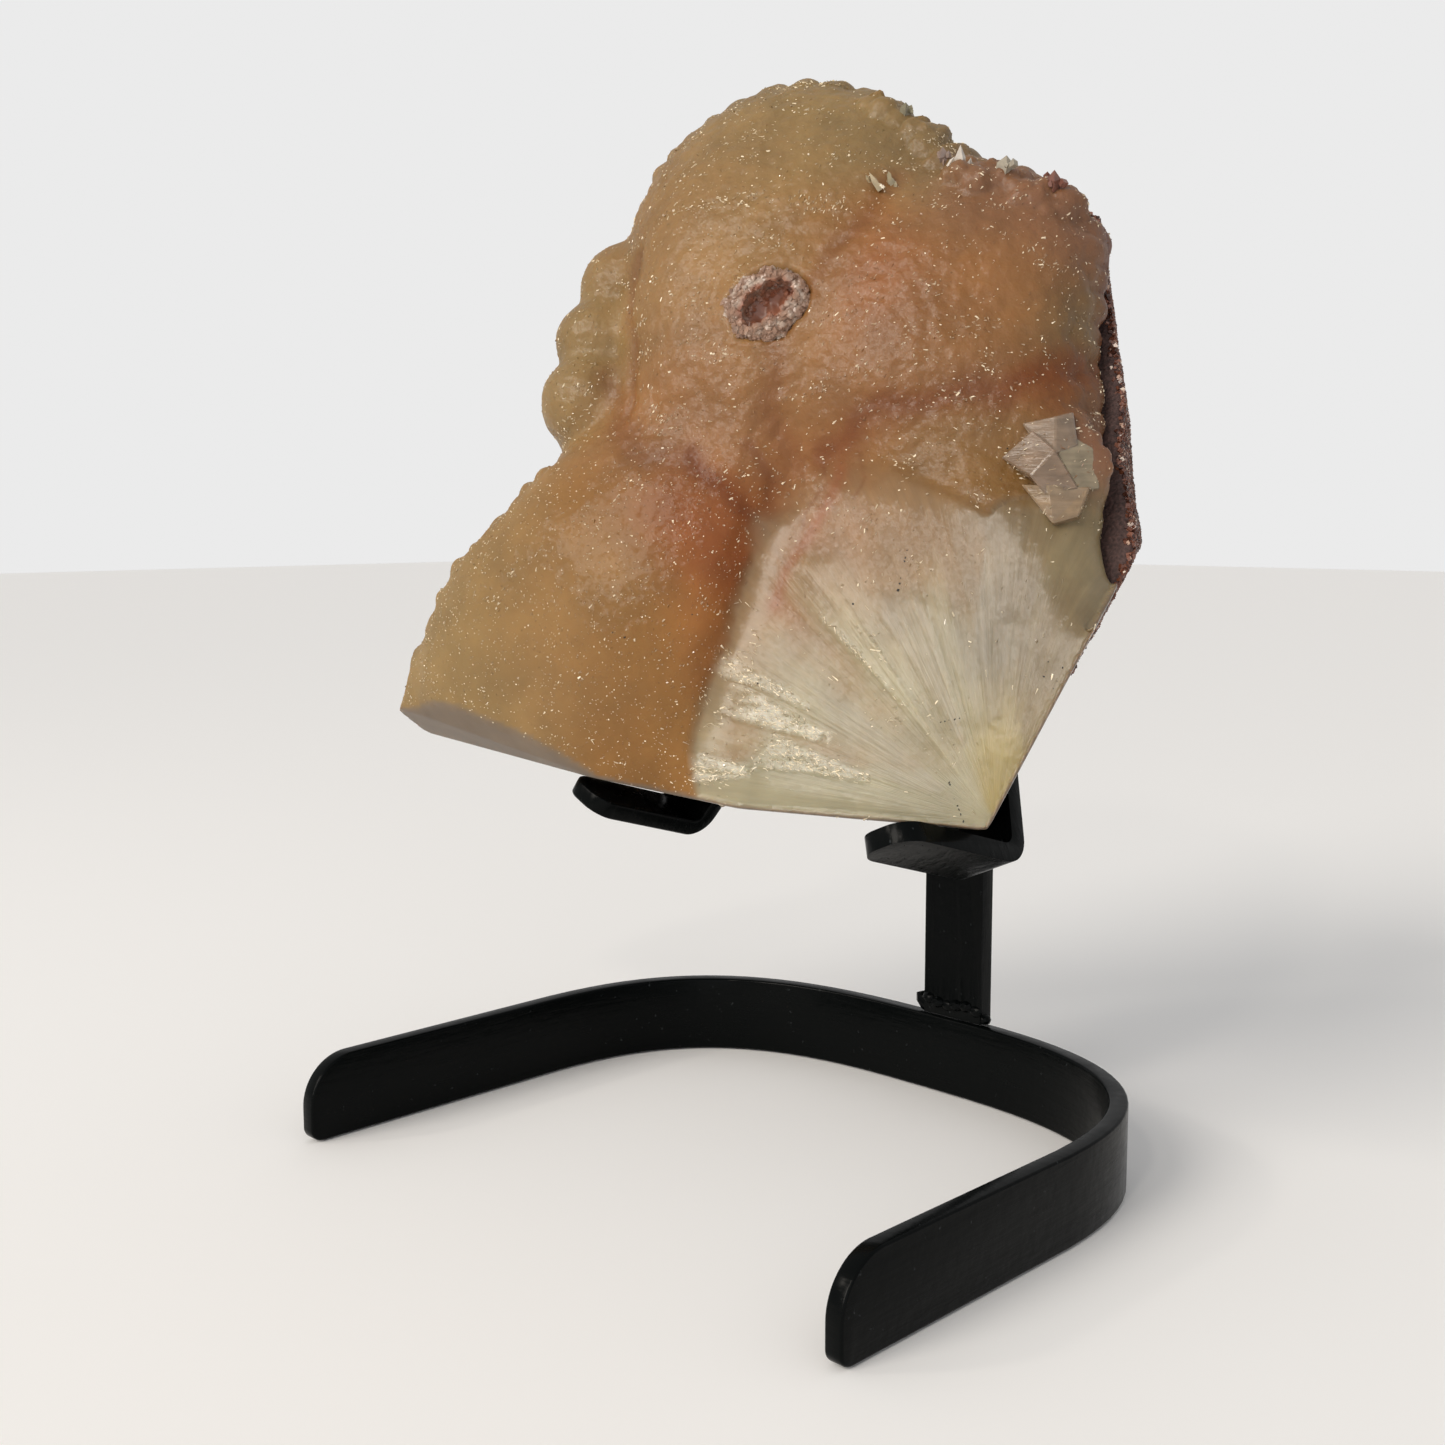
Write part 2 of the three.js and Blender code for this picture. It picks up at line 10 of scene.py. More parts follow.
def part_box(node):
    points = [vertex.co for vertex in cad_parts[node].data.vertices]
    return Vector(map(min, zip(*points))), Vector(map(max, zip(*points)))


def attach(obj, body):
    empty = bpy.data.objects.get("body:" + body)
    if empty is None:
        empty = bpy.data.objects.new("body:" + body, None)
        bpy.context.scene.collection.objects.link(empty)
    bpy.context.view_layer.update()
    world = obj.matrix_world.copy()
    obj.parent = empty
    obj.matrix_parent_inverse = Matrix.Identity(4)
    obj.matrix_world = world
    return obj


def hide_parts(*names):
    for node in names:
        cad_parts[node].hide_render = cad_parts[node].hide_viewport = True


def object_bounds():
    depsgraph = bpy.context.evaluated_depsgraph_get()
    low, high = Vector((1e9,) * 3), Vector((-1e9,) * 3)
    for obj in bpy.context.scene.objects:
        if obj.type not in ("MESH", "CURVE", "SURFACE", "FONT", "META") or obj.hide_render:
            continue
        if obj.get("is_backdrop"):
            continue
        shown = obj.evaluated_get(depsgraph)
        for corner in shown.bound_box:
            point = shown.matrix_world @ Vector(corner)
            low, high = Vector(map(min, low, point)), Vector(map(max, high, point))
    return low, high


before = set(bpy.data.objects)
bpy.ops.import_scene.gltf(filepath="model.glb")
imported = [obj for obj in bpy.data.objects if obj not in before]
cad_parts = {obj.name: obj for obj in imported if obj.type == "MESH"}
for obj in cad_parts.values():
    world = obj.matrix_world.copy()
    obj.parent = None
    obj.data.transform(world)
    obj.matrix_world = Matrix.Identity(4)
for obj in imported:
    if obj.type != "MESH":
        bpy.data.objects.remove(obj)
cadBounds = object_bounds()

# A stilbite cluster on a welded flat bar stand. Sizes here are in millimetres,
# and millimetre is what turns them into the frame's metres.
millimetre = 0.001

# The hoop's own centre, worked out from its packed box: the places below are counted from it
hoopReach = 73.9  # from that centre to the back of the bend
hoopLow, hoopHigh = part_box("base_hoop")
hoopCentre = Vector((
    (hoopLow.x + hoopHigh.x) / 2 / millimetre,
    hoopHigh.y / millimetre - hoopReach,
    0,
))

# The cluster's own frame: across its face, out of its face, and up
cluster = {"at": (8, 10, 80), "turn": 20, "lean": 14}
clusterTurn = Matrix.Rotation(math.radians(cluster["turn"]), 3, "Z")
clusterLean = Matrix.Rotation(math.radians(-cluster["lean"]), 3, "X")
clusterAxes = np.array(clusterTurn @ clusterLean) @ np.diag([1.0, -1.0, 1.0])
clusterPlace = np.array(hoopCentre + Vector(cluster["at"]))


def toCluster(points):  # from the row's frame, in metres, to the cluster's
    return (np.asarray(points) / millimetre - clusterPlace) @ clusterAxes


def fromCluster(points):
    return (np.asarray(points) @ clusterAxes.T + clusterPlace) * millimetre


def directionFromCluster(directions):
    return np.asarray(directions) @ clusterAxes.T


def placed(name, data):  # a new object in the scene
    made = bpy.data.objects.new(name, data)
    bpy.context.scene.collection.objects.link(made)
    return made


# Camera, at the photographed angle
cameraView = {
    "at": (269.4, -277.1, 150.0),  # from the hoop's centre
    "heading": 44.75,
    "tilt": 7.0,  # downwards
    "roll": 0.08,
    "lens": 42.83,
}


def makeCamera():
    camera = placed("camera", bpy.data.cameras.new("camera"))
    camera.data.lens = cameraView["lens"]
    camera.data.sensor_width = 36
    camera.data.clip_start = 0.02
    heading, tilt = math.radians(cameraView["heading"]), math.radians(cameraView["tilt"])
    turn = Matrix.Rotation(heading, 4, "Z") @ Matrix.Rotation(math.pi / 2 - tilt, 4, "X")
    turn = turn @ Matrix.Rotation(math.radians(-cameraView["roll"]), 4, "Z")
    place = (hoopCentre + Vector(cameraView["at"])) * millimetre
    camera.matrix_world = Matrix.Translation(place) @ turn
    bpy.context.scene.camera = camera


makeCamera()
print("camera placed")


# Small helpers
def smoothStep(value, low, high):
    share = np.clip((value - low) / (high - low), 0, 1)
    return share * share * (3 - 2 * share)


def unit(vectors):
    return vectors / np.maximum(np.linalg.norm(vectors, axis=-1, keepdims=True), 1e-9)


def perMetre(size):  # a texture's scale for a pattern of that size
    return 1 / (size * millimetre)


def hexColor(text):
    channels = [int(text[place:place + 2], 16) / 255 for place in (1, 3, 5)]
    linear = [c / 12.92 if c <= 0.04045 else ((c + 0.055) / 1.055) ** 2.4 for c in channels]
    return (*linear, 1.0)


def linearTone(text):
    return np.array(hexColor(text)[:3])


def mixed(first, second, share):
    return first * (1 - share) + share * second


def opaque(tones):  # the same with an alpha of 1
    return np.concatenate([tones, np.ones((len(tones), 1))], axis=1)


noiseSpan = {"From Min": 0.3, "From Max": 0.7}  # where most of a noise's values lie


def addNode(tree, kind, values=None, links=None, **settings):
    node = tree.nodes.new("ShaderNode" + kind)
    for name, value in settings.items():
        setattr(node, name, value)
    for name, value in (values or {}).items():
        node.inputs[name].default_value = value
    for name, source in (links or {}).items():
        tree.links.new(source, node.inputs[name])
    return node


def startMaterial(name, values):
    material = bpy.data.materials.new(name)
    material.use_nodes = True
    tree = material.node_tree
    tree.nodes.clear()
    shader = addNode(tree, "BsdfPrincipled", values)
    addNode(tree, "OutputMaterial", links={"Surface": shader.outputs[0]})
    return material, tree, shader


def newPiece(name, mesh, material, nodes=()):
    piece = placed(name, mesh)
    mesh.materials.clear()
    mesh.materials.append(material)
    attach(piece, "root")
    if nodes:
        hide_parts(*nodes)
    return piece


def mergedCopy(node):  # a CAD node's mesh with its loose triangles joined up
    shape = bmesh.new()
    shape.from_mesh(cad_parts[node].data)
    bmesh.ops.remove_doubles(shape, verts=shape.verts, dist=0.002 * millimetre)
    return shape


def meshFrom(shape, name, smooth=True):
    mesh = bpy.data.meshes.new(name)
    shape.to_mesh(mesh)
    shape.free()
    for layer in ("custom_normal", "sharp_edge", "sharp_face"):
        if layer in mesh.attributes:
            mesh.attributes.remove(mesh.attributes[layer])
    mesh.polygons.foreach_set("use_smooth", [smooth] * len(mesh.polygons))
    return mesh


def remeshed(mesh, voxel):  # the same form in even small squares
    holder = placed("remeshing", mesh)
    modifier = holder.modifiers.new("even", "REMESH")
    modifier.mode = "VOXEL"
    modifier.voxel_size = voxel * millimetre
    modifier.use_smooth_shade = True
    bpy.context.view_layer.update()
    made = holder.evaluated_get(bpy.context.evaluated_depsgraph_get())
    result = bpy.data.meshes.new_from_object(made)
    result.name = mesh.name
    bpy.data.objects.remove(holder)
    bpy.data.meshes.remove(mesh)
    return result


def cornersOf(mesh):
    values = np.empty(len(mesh.vertices) * 3, np.float32)
    mesh.vertices.foreach_get("co", values)
    return values.reshape(-1, 3).astype(float)


def normalsOf(mesh):
    values = np.empty(len(mesh.vertices) * 3, np.float32)
    mesh.vertices.foreach_get("normal", values)
    return values.reshape(-1, 3).astype(float)


def moveCorners(mesh, points):
    mesh.vertices.foreach_set("co", np.asarray(points, np.float32).ravel())
    mesh.update()


def softened(mesh, share, rounds):  # each corner moves that share of the way to its neighbours' middle
    points = cornersOf(mesh)
    edges = np.empty(len(mesh.edges) * 2, np.int32)
    mesh.edges.foreach_get("vertices", edges)
    first, second = edges.reshape(-1, 2).T
    count = np.maximum(np.bincount(edges, minlength=len(points)), 1)
    for _ in range(rounds):
        middle = np.empty_like(points)
        for axis in range(3):
            onward = np.bincount(first, points[second, axis], len(points))
            back = np.bincount(second, points[first, axis], len(points))
            middle[:, axis] = (onward + back) / count
        points += share[:, None] * (middle - points)
    moveCorners(mesh, points)


def placesOf(mesh):  # its corners in the cluster's frame
    return toCluster(cornersOf(mesh))


def facingOut(normals):  # 1 where one points straight out of the cluster's face, -1 where straight into it
    return normals @ clusterAxes[:, 1]


def rippled(points, size, start):  # smooth noise from -1 to 1 with waves of about that size
    shift = Vector((start, 2 * start, -start))
    return np.array([noise.noise(Vector(point) / size + shift) for point in points])


def pebbled(points, size, start):  # rounded knobs, 1 at each middle and 0 in the creases between them
    shift = Vector((start, 2 * start, -start))
    near = [noise.voronoi(Vector(point) / size + shift)[0][0] for point in points]
    return np.clip(1 - np.square(np.array(near)) / 0.6, 0, 1)


def addColors(mesh, name, colors):
    layer = mesh.color_attributes.new(name, "FLOAT_COLOR", "POINT")
    layer.data.foreach_set("color", np.asarray(colors, np.float32).ravel())


def addValues(mesh, name, values, kind="FLOAT"):
    layer = mesh.attributes.new(name, kind, "POINT")
    field = "vector" if kind == "FLOAT_VECTOR" else "value"
    layer.data.foreach_set(field, np.asarray(values, np.float32).ravel())


# Creases of the cluster's face: points across and up, how deep, how wide, how brown, the brown being painted
# shade in the crease
creases = {
    "underUpperLeft": {
        "line": [(-50, 100), (-44, 89), (-37, 80), (-23, 77)],
        "depth": 0.3, "width": 3.2, "brown": 0.4,
    },
    "valley": {
        "line": [(-23, 77), (-15, 71), (-5, 63.6)],
        "depth": 0.4, "width": 3.0, "brown": 0.9,
    },
    "lobeBorder": {
        "line": [(-5, 63.6), (-6.2, 60), (-9.5, 42), (-13, 33), (-15, 26)],
        "depth": 0.3, "width": 3.4, "brown": 0.25,
    },
    "bulgeSide": {
        "line": [(-9, 81), (-3.5, 73.5), (-5, 67)],
        "depth": 0.3, "width": 1.8, "brown": 0.5,
    },
    "betweenUppers": {
        "line": [(18, 143), (13, 132), (8, 123), (-1, 110), (-4, 99), (-5, 88), (1, 78)],
        "depth": 0.5, "width": 3.0, "brown": 0.4,
    },
    "seam": {
        "line": [(69, 104), (56, 98), (46, 92), (33, 90), (20, 87), (8, 80)],
        "depth": 0.3, "width": 4.2, "brown": 0.75,
    },
    "bubbleSide": {
        "line": [(-46, 128), (-44, 112), (-41, 100), (-42, 88)],
        "depth": 1.0, "width": 2.2, "brown": 0.4,
    },
}

# The stone's own tones, and the tones painted as shade, sheen and glints
stoneTones = {
    "olive": "#846b42",
    "tan": "#896539",
    "ochre": "#805827",
    "peach": "#83582e",
    "rose": "#854720",
    "amber": "#8c5723",
    "plum": "#755039",
    "greyOlive": "#6e5939",
    "brown": "#6d3c13",
    # a deep brown, painted along the creases as shade, and the dark veins' own colour
    "crease": "#663003",
    "cream": "#958d72",
    "paleCream": "#a59a7b",
    "lilac": "#978b7e",
    "roseCream": "#846646",
    "grey": "#746b5d",
    "straw": "#92865f",
    "yellow": "#978758",
    # painted sheen: the near white of the pearly plates' shine
    "paintedSheen": "#d4cdbd",
    # painted glint: near white
    "paintedGlint": "#faeacb",
    "cleaved": "#706151",
    "rind": "#5f331a",
    "deepOrange": "#824311",
    "creamOlive": "#817152",
    # painted shade on the broken face
    "paintedShadeOlive": "#6a5940",
    "oliveDeep": "#775529",
}
# Where the skin has which tone: place across and up the face, and how far it reaches
skinTones = {
    "upperLeftTop": (-6, 152, 22, "olive"),
    "upperLeftSide": (-30, 130, 16, "tan"),
    "upperLeftMiddle": (-14, 120, 14, "tan"),
    "upperLeftLow": (-20, 94, 14, "peach"),
    "betweenUppers": (9, 131, 8, "amber"),
    "topEdge": (22, 152, 9, "greyOlive"),
    "upperRight": (34, 116, 15, "peach"),
    "upperRightLow": (22, 98, 12, "peach"),
    "upperRightRose": (18, 118, 8, "rose"),
    "topRim": (42, 139, 8, "plum"),
    "topRimFar": (58, 132, 7, "plum"),
    "farSide": (66, 112, 9, "greyOlive"),
    "underSeam": (37, 84, 8, "oliveDeep"),
    "besideBlocks": (70, 84, 6, "plum"),
    # painted shade: a deep brown at the seam's end
    "seamEnd": (56, 97, 4, "brown"),
    "bulge": (-11, 77, 7, "peach"),
    "underBubbles": (-32, 74, 9, "peach"),
    "rosePatch": (-22, 67, 6, "rose"),
    "valleySide": (-13, 56, 8, "deepOrange"),
    "cheekSide": (-8, 67, 5, "deepOrange"),
    "lobeSide": (-16, 38, 6, "amber"),
    "lobeBand": (-44, 66, 8, "ochre"),
    "lowerLeft": (-52, 44, 16, "tan"),
    "lowerLeftEdge": (-82, 34, 20, "olive"),
    "lowerLeftRose": (-30, 34, 8, "ochre"),
    "lowerLeftFoot": (-30, 12, 10, "ochre"),
    "aboveFan": (40, 73, 9, "oliveDeep"),
    "ridgeAboveFan": (1, 70, 6, "peach"),
    "rightEdge": (72, 50, 9, "creamOlive"),
    "bubbles": (-58, 110, 12, "olive"),
}

# The broken face: where its fibres start, and how far it runs from there at each angle
fan = {
    "apex": (55, 30.4, 1),
    "angles": (0, 14, 29, 38, 46, 57, 67, 76, 85, 95, 103, 112, 130),
    "reaches": (72, 73, 76, 81, 88, 85, 79, 73, 69, 66, 65, 64, 60),
    "edges": (1.2, 1.2, 1.5, 2, 3, 6, 7, 7, 6, 5, 4, 4, 4),  # and how softly it ends there
    "foot": 3,  # how far it runs on past its planes at its foot
    "side": 24,  # and at its right side
}
# Its tones by angle up from the leftward fibres, distance from their start and reach
fanTones = {
    "lowLeft": (6, 50, 14, "cream"),
    "leftMargin": (30, 76, 8, "tan"),
    "upperLeft": (47, 72, 14, "roseCream"),
    "middleLeft": (36, 56, 12, "cream"),
    "upper": (64, 66, 12, "roseCream"),
    "middle": (58, 40, 12, "cream"),
    "right": (88, 40, 12, "grey"),
    "upperRight": (92, 62, 9, "creamOlive"),
    "farRight": (108, 40, 12, "creamOlive"),
    "start": (88, 10, 10, "yellow"),
    "low": (22, 26, 12, "cream"),
}
# Plates of its fibres: angle, half its width in degrees, from and to which distance, how high it stands,
# its tone and how strongly
fanPlates = {
    "longBand": (47, 3.8, 3, 61, 0.24, "paleCream", 0.34),
    # the silver ones are painted sheen: highlight streaks and the pearly shine along the plates
    "longBandCrest": (44.6, 0.8, 34, 59, 0.4, "paintedSheen", 0.4),
    "longBandEdge": (49.8, 0.6, 30, 52, 0.2, "paintedSheen", 0.2),
    "middlePlate": (60.5, 6.0, 18, 54, 0.24, "lilac", 0.3),
    "middlePlateEdge": (64.8, 1.2, 20, 34, 0.15, "paleCream", 0.22),
    "strip": (70, 3.0, 14, 58, 0.06, "straw", 0.19),
    "stripEnd": (72.5, 1.4, 14, 26, 0.12, "straw", 0.22),
    "rightPlate": (83, 8.5, 20, 66, 0.15, "grey", 0.3),
    "outerPlate": (100, 7, 23, 60, 0.07, "straw", 0.15),
    # painted shade, with no height: a darker olive on the broken face's right and upper right
    "rightPaintedShade": (98, 8, 20, 54, 0.0, "paintedShadeOlive", 0.35),
    "rightPaintedShadeFar": (104, 8, 16, 48, 0.0, "paintedShadeOlive", 0.45),
    "upperPaintedShade": (89, 9, 42, 70, 0.0, "paintedShadeOlive", 0.4),
    "lowPlate": (24, 12, 13, 46, 0.09, "lilac", 0.26),
    "silverPlate": (20.5, 3.4, 42, 66, 0.4, "paintedSheen", 0.6),
    "silverPlateLow": (13.5, 4.4, 30, 56, 0.3, "paintedSheen", 0.35),
    "silverCorner": (6.5, 2.6, 58, 74, 0.3, "paintedSheen", 0.5),
    "silverEdge": (25.5, 2.0, 50, 74, 0.25, "paintedSheen", 0.4),
    "startWedge": (86, 12, 0, 17, 0.18, "yellow", 0.26),
    "startFacet": (72, 6, 0, 10, 0.24, "yellow", 0.3),
}
loosePlates = {
    "count": 30,
    "angles": (1, 116),
    "half": (0.8, 3.5),
    "from": (10, 62),
    "long": (10, 34),
    "high": (0.02, 0.06),
    "shade": 0.04,
    "seed": 31,
}
# Veins of the stone: points across and up, width, tone and how strongly
veins = {
    "roseVein": ([(12, 76), (9, 70), (4, 60), (0.4, 53.7), (-1.5, 46)], 1.8, "rose", 0.55),
    "darkVein": ([(7.4, 77), (8, 73.5), (5.5, 70), (3.4, 67), (3.2, 64)], 0.45, "crease", 0.35),
    "secondVein": ([(17, 79), (18, 74), (15, 70)], 0.4, "crease", 0.35),
}
# The planes that bound the broken face and the cleaved underside: a point on each and where it faces
brokenPlanes = {
    "floor": ((20, 24, 40), (-0.12, 1, 0.06)),
    "top": ((17, 22, 74), (-0.3, 0.72, -0.6)),
    "left": ((-10, 21, 46), (0.8, 0.58, -0.15)),
}
cleavedPlanes = {
    "cleaved": ((52.8, 27, -0.7), (0.88, -0.267, -0.39)),
    "under": ((52.8, 27, -0.6), (-0.009, -0.054, -1)),
    "leftUnder": ((-35, 30, 6), (-0.26, 0.27, -0.93)),
    "lowLeft": ((-51, 5, 5.9), (-0.121, -0.002, -0.993)),
    "lowMiddle": ((-51, 5, 5.9), (-0.171, 0.026, -0.985)),
}


def toneOf(name):
    return linearTone(stoneTones[name])


def beyondPlane(places, plane):  # how far each place lies beyond it
    at, facing = (np.array(part, float) for part in plane)
    return (places - at) @ unit(facing)


def brokenShare(places):  # 1 on the broken face, 0 on the skin
    beyond = np.min([beyondPlane(places, plane) for plane in brokenPlanes.values()], axis=0)
    across, out, up = places.T
    foot = fan["foot"] * smoothStep(up, 12, 2) * smoothStep(out, 8, 14)
    side = fan["side"] * smoothStep(across, 46, 58) * smoothStep(up, 74, 64) * smoothStep(out, -2, 6)
    return smoothStep(beyond + foot + side, -1.8, -0.4)


def flatShare(places):  # 1 on the cleaved underside
    planes = [*cleavedPlanes.values(), stoneMass["trim"]]
    beyond = np.max([beyondPlane(places, plane) for plane in planes], axis=0)
    return smoothStep(beyond, -1.0, -0.3)


def distanceToLine(flat, line):  # from each place, seen on the face, to a run of straight stretches
    best = np.full(len(flat), 1e9)
    for start, end in zip(line, line[1:]):
        start, end = np.array(start, float), np.array(end, float)
        run = end - start
        share = np.clip((flat - start) @ run / (run @ run), 0, 1)
        best = np.minimum(best, np.linalg.norm(flat - start - share[:, None] * run, axis=1))
    return best


def creaseValues(places, outward):  # how deep, and how brown with painted shade, only on the face
    flat = places[:, [0, 2]]
    wobble = np.stack([rippled(places, 9, 3), rippled(places, 9, 7)], axis=1)
    depth, brown = np.zeros(len(places)), np.zeros(len(places))
    for crease in creases.values():
        near = np.exp(-np.square(distanceToLine(flat + 2.5 * wobble, crease["line"]) / crease["width"]))
        depth = np.maximum(depth, crease["depth"] * near)
        brown = np.maximum(brown, crease["brown"] * near)
    onFace = smoothStep(outward, -0.1, 0.35)
    return depth * onFace, brown * onFace


def blendedTones(flat, tones):
    weight, color = np.zeros(len(flat)) + 1e-12, np.zeros((len(flat), 3))
    for across, up, reach, name in tones.values():
        share = np.exp(-((flat[:, 0] - across) ** 2 + (flat[:, 1] - up) ** 2) / (2 * reach * reach))
        weight += share
        color += share[:, None] * toneOf(name)
    return color / weight[:, None]


def fanPolar(places):  # angle up from the leftward fibres, in degrees, and distance from their start
    across = fan["apex"][0] - places[:, 0]
    up = places[:, 2] - fan["apex"][2]
    return np.degrees(np.arctan2(up, across)), np.hypot(across, up)


def fanShare(places, angle, distance):  # 1 where the fibres show, 0 on the skin
    reach = np.interp(angle, fan["angles"], fan["reaches"])
    soft = np.interp(angle, fan["angles"], fan["edges"])
    wander = rippled(places, 12, 9) + 0.4 * rippled(places, 3, 11)
    edge = reach + wander * np.minimum(soft, 3)
    return brokenShare(places) * (1 - smoothStep(distance, edge - soft, edge + soft))


def plateShare(plate, angle, distance, ragged):
    turn, half, start, end = plate[:4]
    along = np.clip((distance - start) / (end - start), 0, 1)
    side = np.radians(half * (0.55 + 0.45 * along) - np.abs(angle - turn + 1.5 * (along - 0.5))) * distance
    fade = 0.12 * (end - start) + 1
    return (smoothStep(side + 0.35 * ragged, -0.3, 0.9) * smoothStep(distance - start + 2.5 * ragged, 0, 0.8)
            * smoothStep(end - distance + 2.5 * ragged, -fade, fade))


def chancePlates():  # the many lesser plates, each also a little lighter or darker
    dice = np.random.default_rng(loosePlates["seed"])
    for _ in range(loosePlates["count"]):
        start = dice.uniform(*loosePlates["from"])
        turn, half = dice.uniform(*loosePlates["angles"]), dice.uniform(*loosePlates["half"])
        end = start + dice.uniform(*loosePlates["long"])
        high, shade = dice.uniform(*loosePlates["high"]), dice.uniform(-1, 1)
        yield (turn, half, start, end, high), shade


def raggedness(places):
    return rippled(places, 1.7, 21) + 0.5 * rippled(places, 0.8, 22)


def fanTone(places, angle, distance):
    arc = np.stack([np.radians(angle - 50) * 45, distance], axis=1)
    spots = {name: (np.radians(turn - 50) * 45, *rest) for name, (turn, *rest) in fanTones.items()}
    wander = 3 * np.stack([rippled(places, 14, 1), rippled(places, 14, 5)], axis=1)
    tone = blendedTones(arc + wander, spots)
    ragged = raggedness(places)
    strands = np.stack([np.radians(angle) * distance / 1.3, distance / 9, ragged], axis=1)
    streaks = smoothStep(rippled(strands, 1, 17), -0.5, 0.2)[:, None]
    for plate, shade in chancePlates():
        tone *= 1 + loosePlates["shade"] * shade * plateShare(plate, angle, distance, ragged)[:, None]
    for plate in fanPlates.values():
        share = plate[6] * plateShare(plate, angle, distance, ragged)[:, None]
        # painted sheen, laid in streaks along the fibres
        if plate[5] == "paintedSheen":
            share *= streaks
        tone = mixed(tone, toneOf(plate[5]), share)
    return tone


def fanLift(places, angle, distance):
    ragged = raggedness(places)
    lift = 0.2 * rippled(places, 7, 8)
    for plate in [plate for plate, shade in chancePlates()] + list(fanPlates.values()):
        lift += plate[4] * plateShare(plate, angle, distance, ragged)
    fibres = np.stack([np.radians(angle) * 30, distance / 16, places[:, 1] / 9], axis=1)
    return lift + 0.06 * rippled(fibres, 1, 13)


def toneAt(places, outward):
    flat = places[:, [0, 2]]
    wander = 5 * np.stack([rippled(places, 22, 1), rippled(places, 22, 5)], axis=1)
    skin = blendedTones(flat + wander, skinTones)
    brown = creaseValues(places, outward)[1][:, None]
    # painted shade: the creases darkened towards a deep brown
    skin = mixed(skin, toneOf("crease"), brown)
    angle, distance = fanPolar(places)
    pale = fanShare(places, angle, distance)
    tone = mixed(skin, fanTone(places, angle, distance), pale[:, None])
    onFace = smoothStep(outward, 0.1, 0.5)
    for line, width, name, strength in veins.values():
        near = distanceToLine(flat + 0.08 * wander, line)
        share = (strength * np.exp(-np.square(near / width)) * onFace)[:, None]
        tone = mixed(tone, toneOf(name), share)
    flatPart = flatShare(places)[:, None]
    tone = mixed(tone, toneOf("cleaved"), flatPart)
    deep = smoothStep(places[:, 0], 40, 62) * smoothStep(-places[:, 1], -9, 2) * (1 - flatPart[:, 0])
    deep = (deep * smoothStep(places[:, 2], 20, 45))[:, None]
    return opaque(mixed(tone, toneOf("rind"), deep)), pale


# Many small things on a surface
def sampled(mesh, weights, count, seed):  # seeded random points on it, with the surface's normals there
    dice = np.random.default_rng(seed)
    mesh.calc_loop_triangles()
    corners = np.empty(len(mesh.loop_triangles) * 3, np.int32)
    mesh.loop_triangles.foreach_get("vertices", corners)
    corners = corners.reshape(-1, 3)
    points, normals = cornersOf(mesh), normalsOf(mesh)
    first, second, third = points[corners[:, 0]], points[corners[:, 1]], points[corners[:, 2]]
    area = np.linalg.norm(np.cross(second - first, third - first), axis=1)
    chance = np.cumsum(area * weights[corners].mean(axis=1))
    chosen = corners[np.searchsorted(chance, dice.random(count) * chance[-1])]
    share = dice.random((count, 2))
    share = np.where(share.sum(axis=1, keepdims=True) > 1, 1 - share, share)
    mixes = np.stack([1 - share.sum(axis=1), share[:, 0], share[:, 1]], axis=1)
    places = np.einsum("nk,nkc->nc", mixes, points[chosen])
    return places, unit(np.einsum("nk,nkc->nc", mixes, normals[chosen])), dice


def axesAlong(normals, dice, lean, along=None):  # three axes each: along, side, out, leaning at random
    outs = unit(normals + dice.normal(0, lean, normals.shape))
    aims = dice.normal(size=normals.shape) if along is None else along
    sides = unit(np.cross(outs, aims))
    return np.stack([np.cross(sides, outs), sides, outs], axis=2)


def joinedCopies(template, places, axes, sizes, name):  # one mesh of many, and how many corners each has
    corners = np.array([corner.co for corner in template.verts])
    faces = [[corner.index for corner in face.verts] for face in template.faces]
    template.free()
    spots = np.einsum("nij,nkj->nki", axes, corners[None] * sizes[:, None, :]) + places[:, None, :]
    starts = range(0, len(places) * len(corners), len(corners))
    joins = [[start + corner for corner in face] for start in starts for face in faces]
    mesh = bpy.data.meshes.new(name)
    mesh.from_pydata(spots.reshape(-1, 3).tolist(), [], joins)
    mesh.update()
    return mesh, len(corners)


def ridgeTemplate():  # a low roof, 1 long, 1 wide and 1 high
    shape = bmesh.new()
    bmesh.ops.create_cube(shape, size=1)
    ridge = [corner for corner in shape.verts if corner.co.z > 0]
    bmesh.ops.scale(shape, vec=(0.6, 0.0, 1), verts=ridge)
    bmesh.ops.remove_doubles(shape, verts=shape.verts, dist=0.01)
    shape.verts.index_update()
    return shape


def pointedTemplate(sides=4, shoulder=0.55):  # a square prism with a low pyramid on it
    shape = bmesh.new()
    bmesh.ops.create_cone(shape, cap_ends=True, segments=sides, radius1=0.5, radius2=0.5, depth=shoulder)
    bmesh.ops.translate(shape, vec=(0, 0, shoulder / 2), verts=shape.verts)
    top = max(shape.faces, key=lambda face: face.calc_center_median().z)
    tip = bmesh.ops.poke(shape, faces=[top])["verts"]
    bmesh.ops.translate(shape, vec=(0, 0, 1 - shoulder), verts=tip)
    shape.verts.index_update()
    return shape


def cubeTemplate():
    shape = bmesh.new()
    bmesh.ops.create_cube(shape, size=1)
    return shape


def bevelEdges(shape, edges, width, segments=1, clamp=True):
    bmesh.ops.bevel(shape, geom=edges, offset=width, offset_type="OFFSET", segments=segments, profile=0.5,
                    affect="EDGES", clamp_overlap=clamp, material=-1)


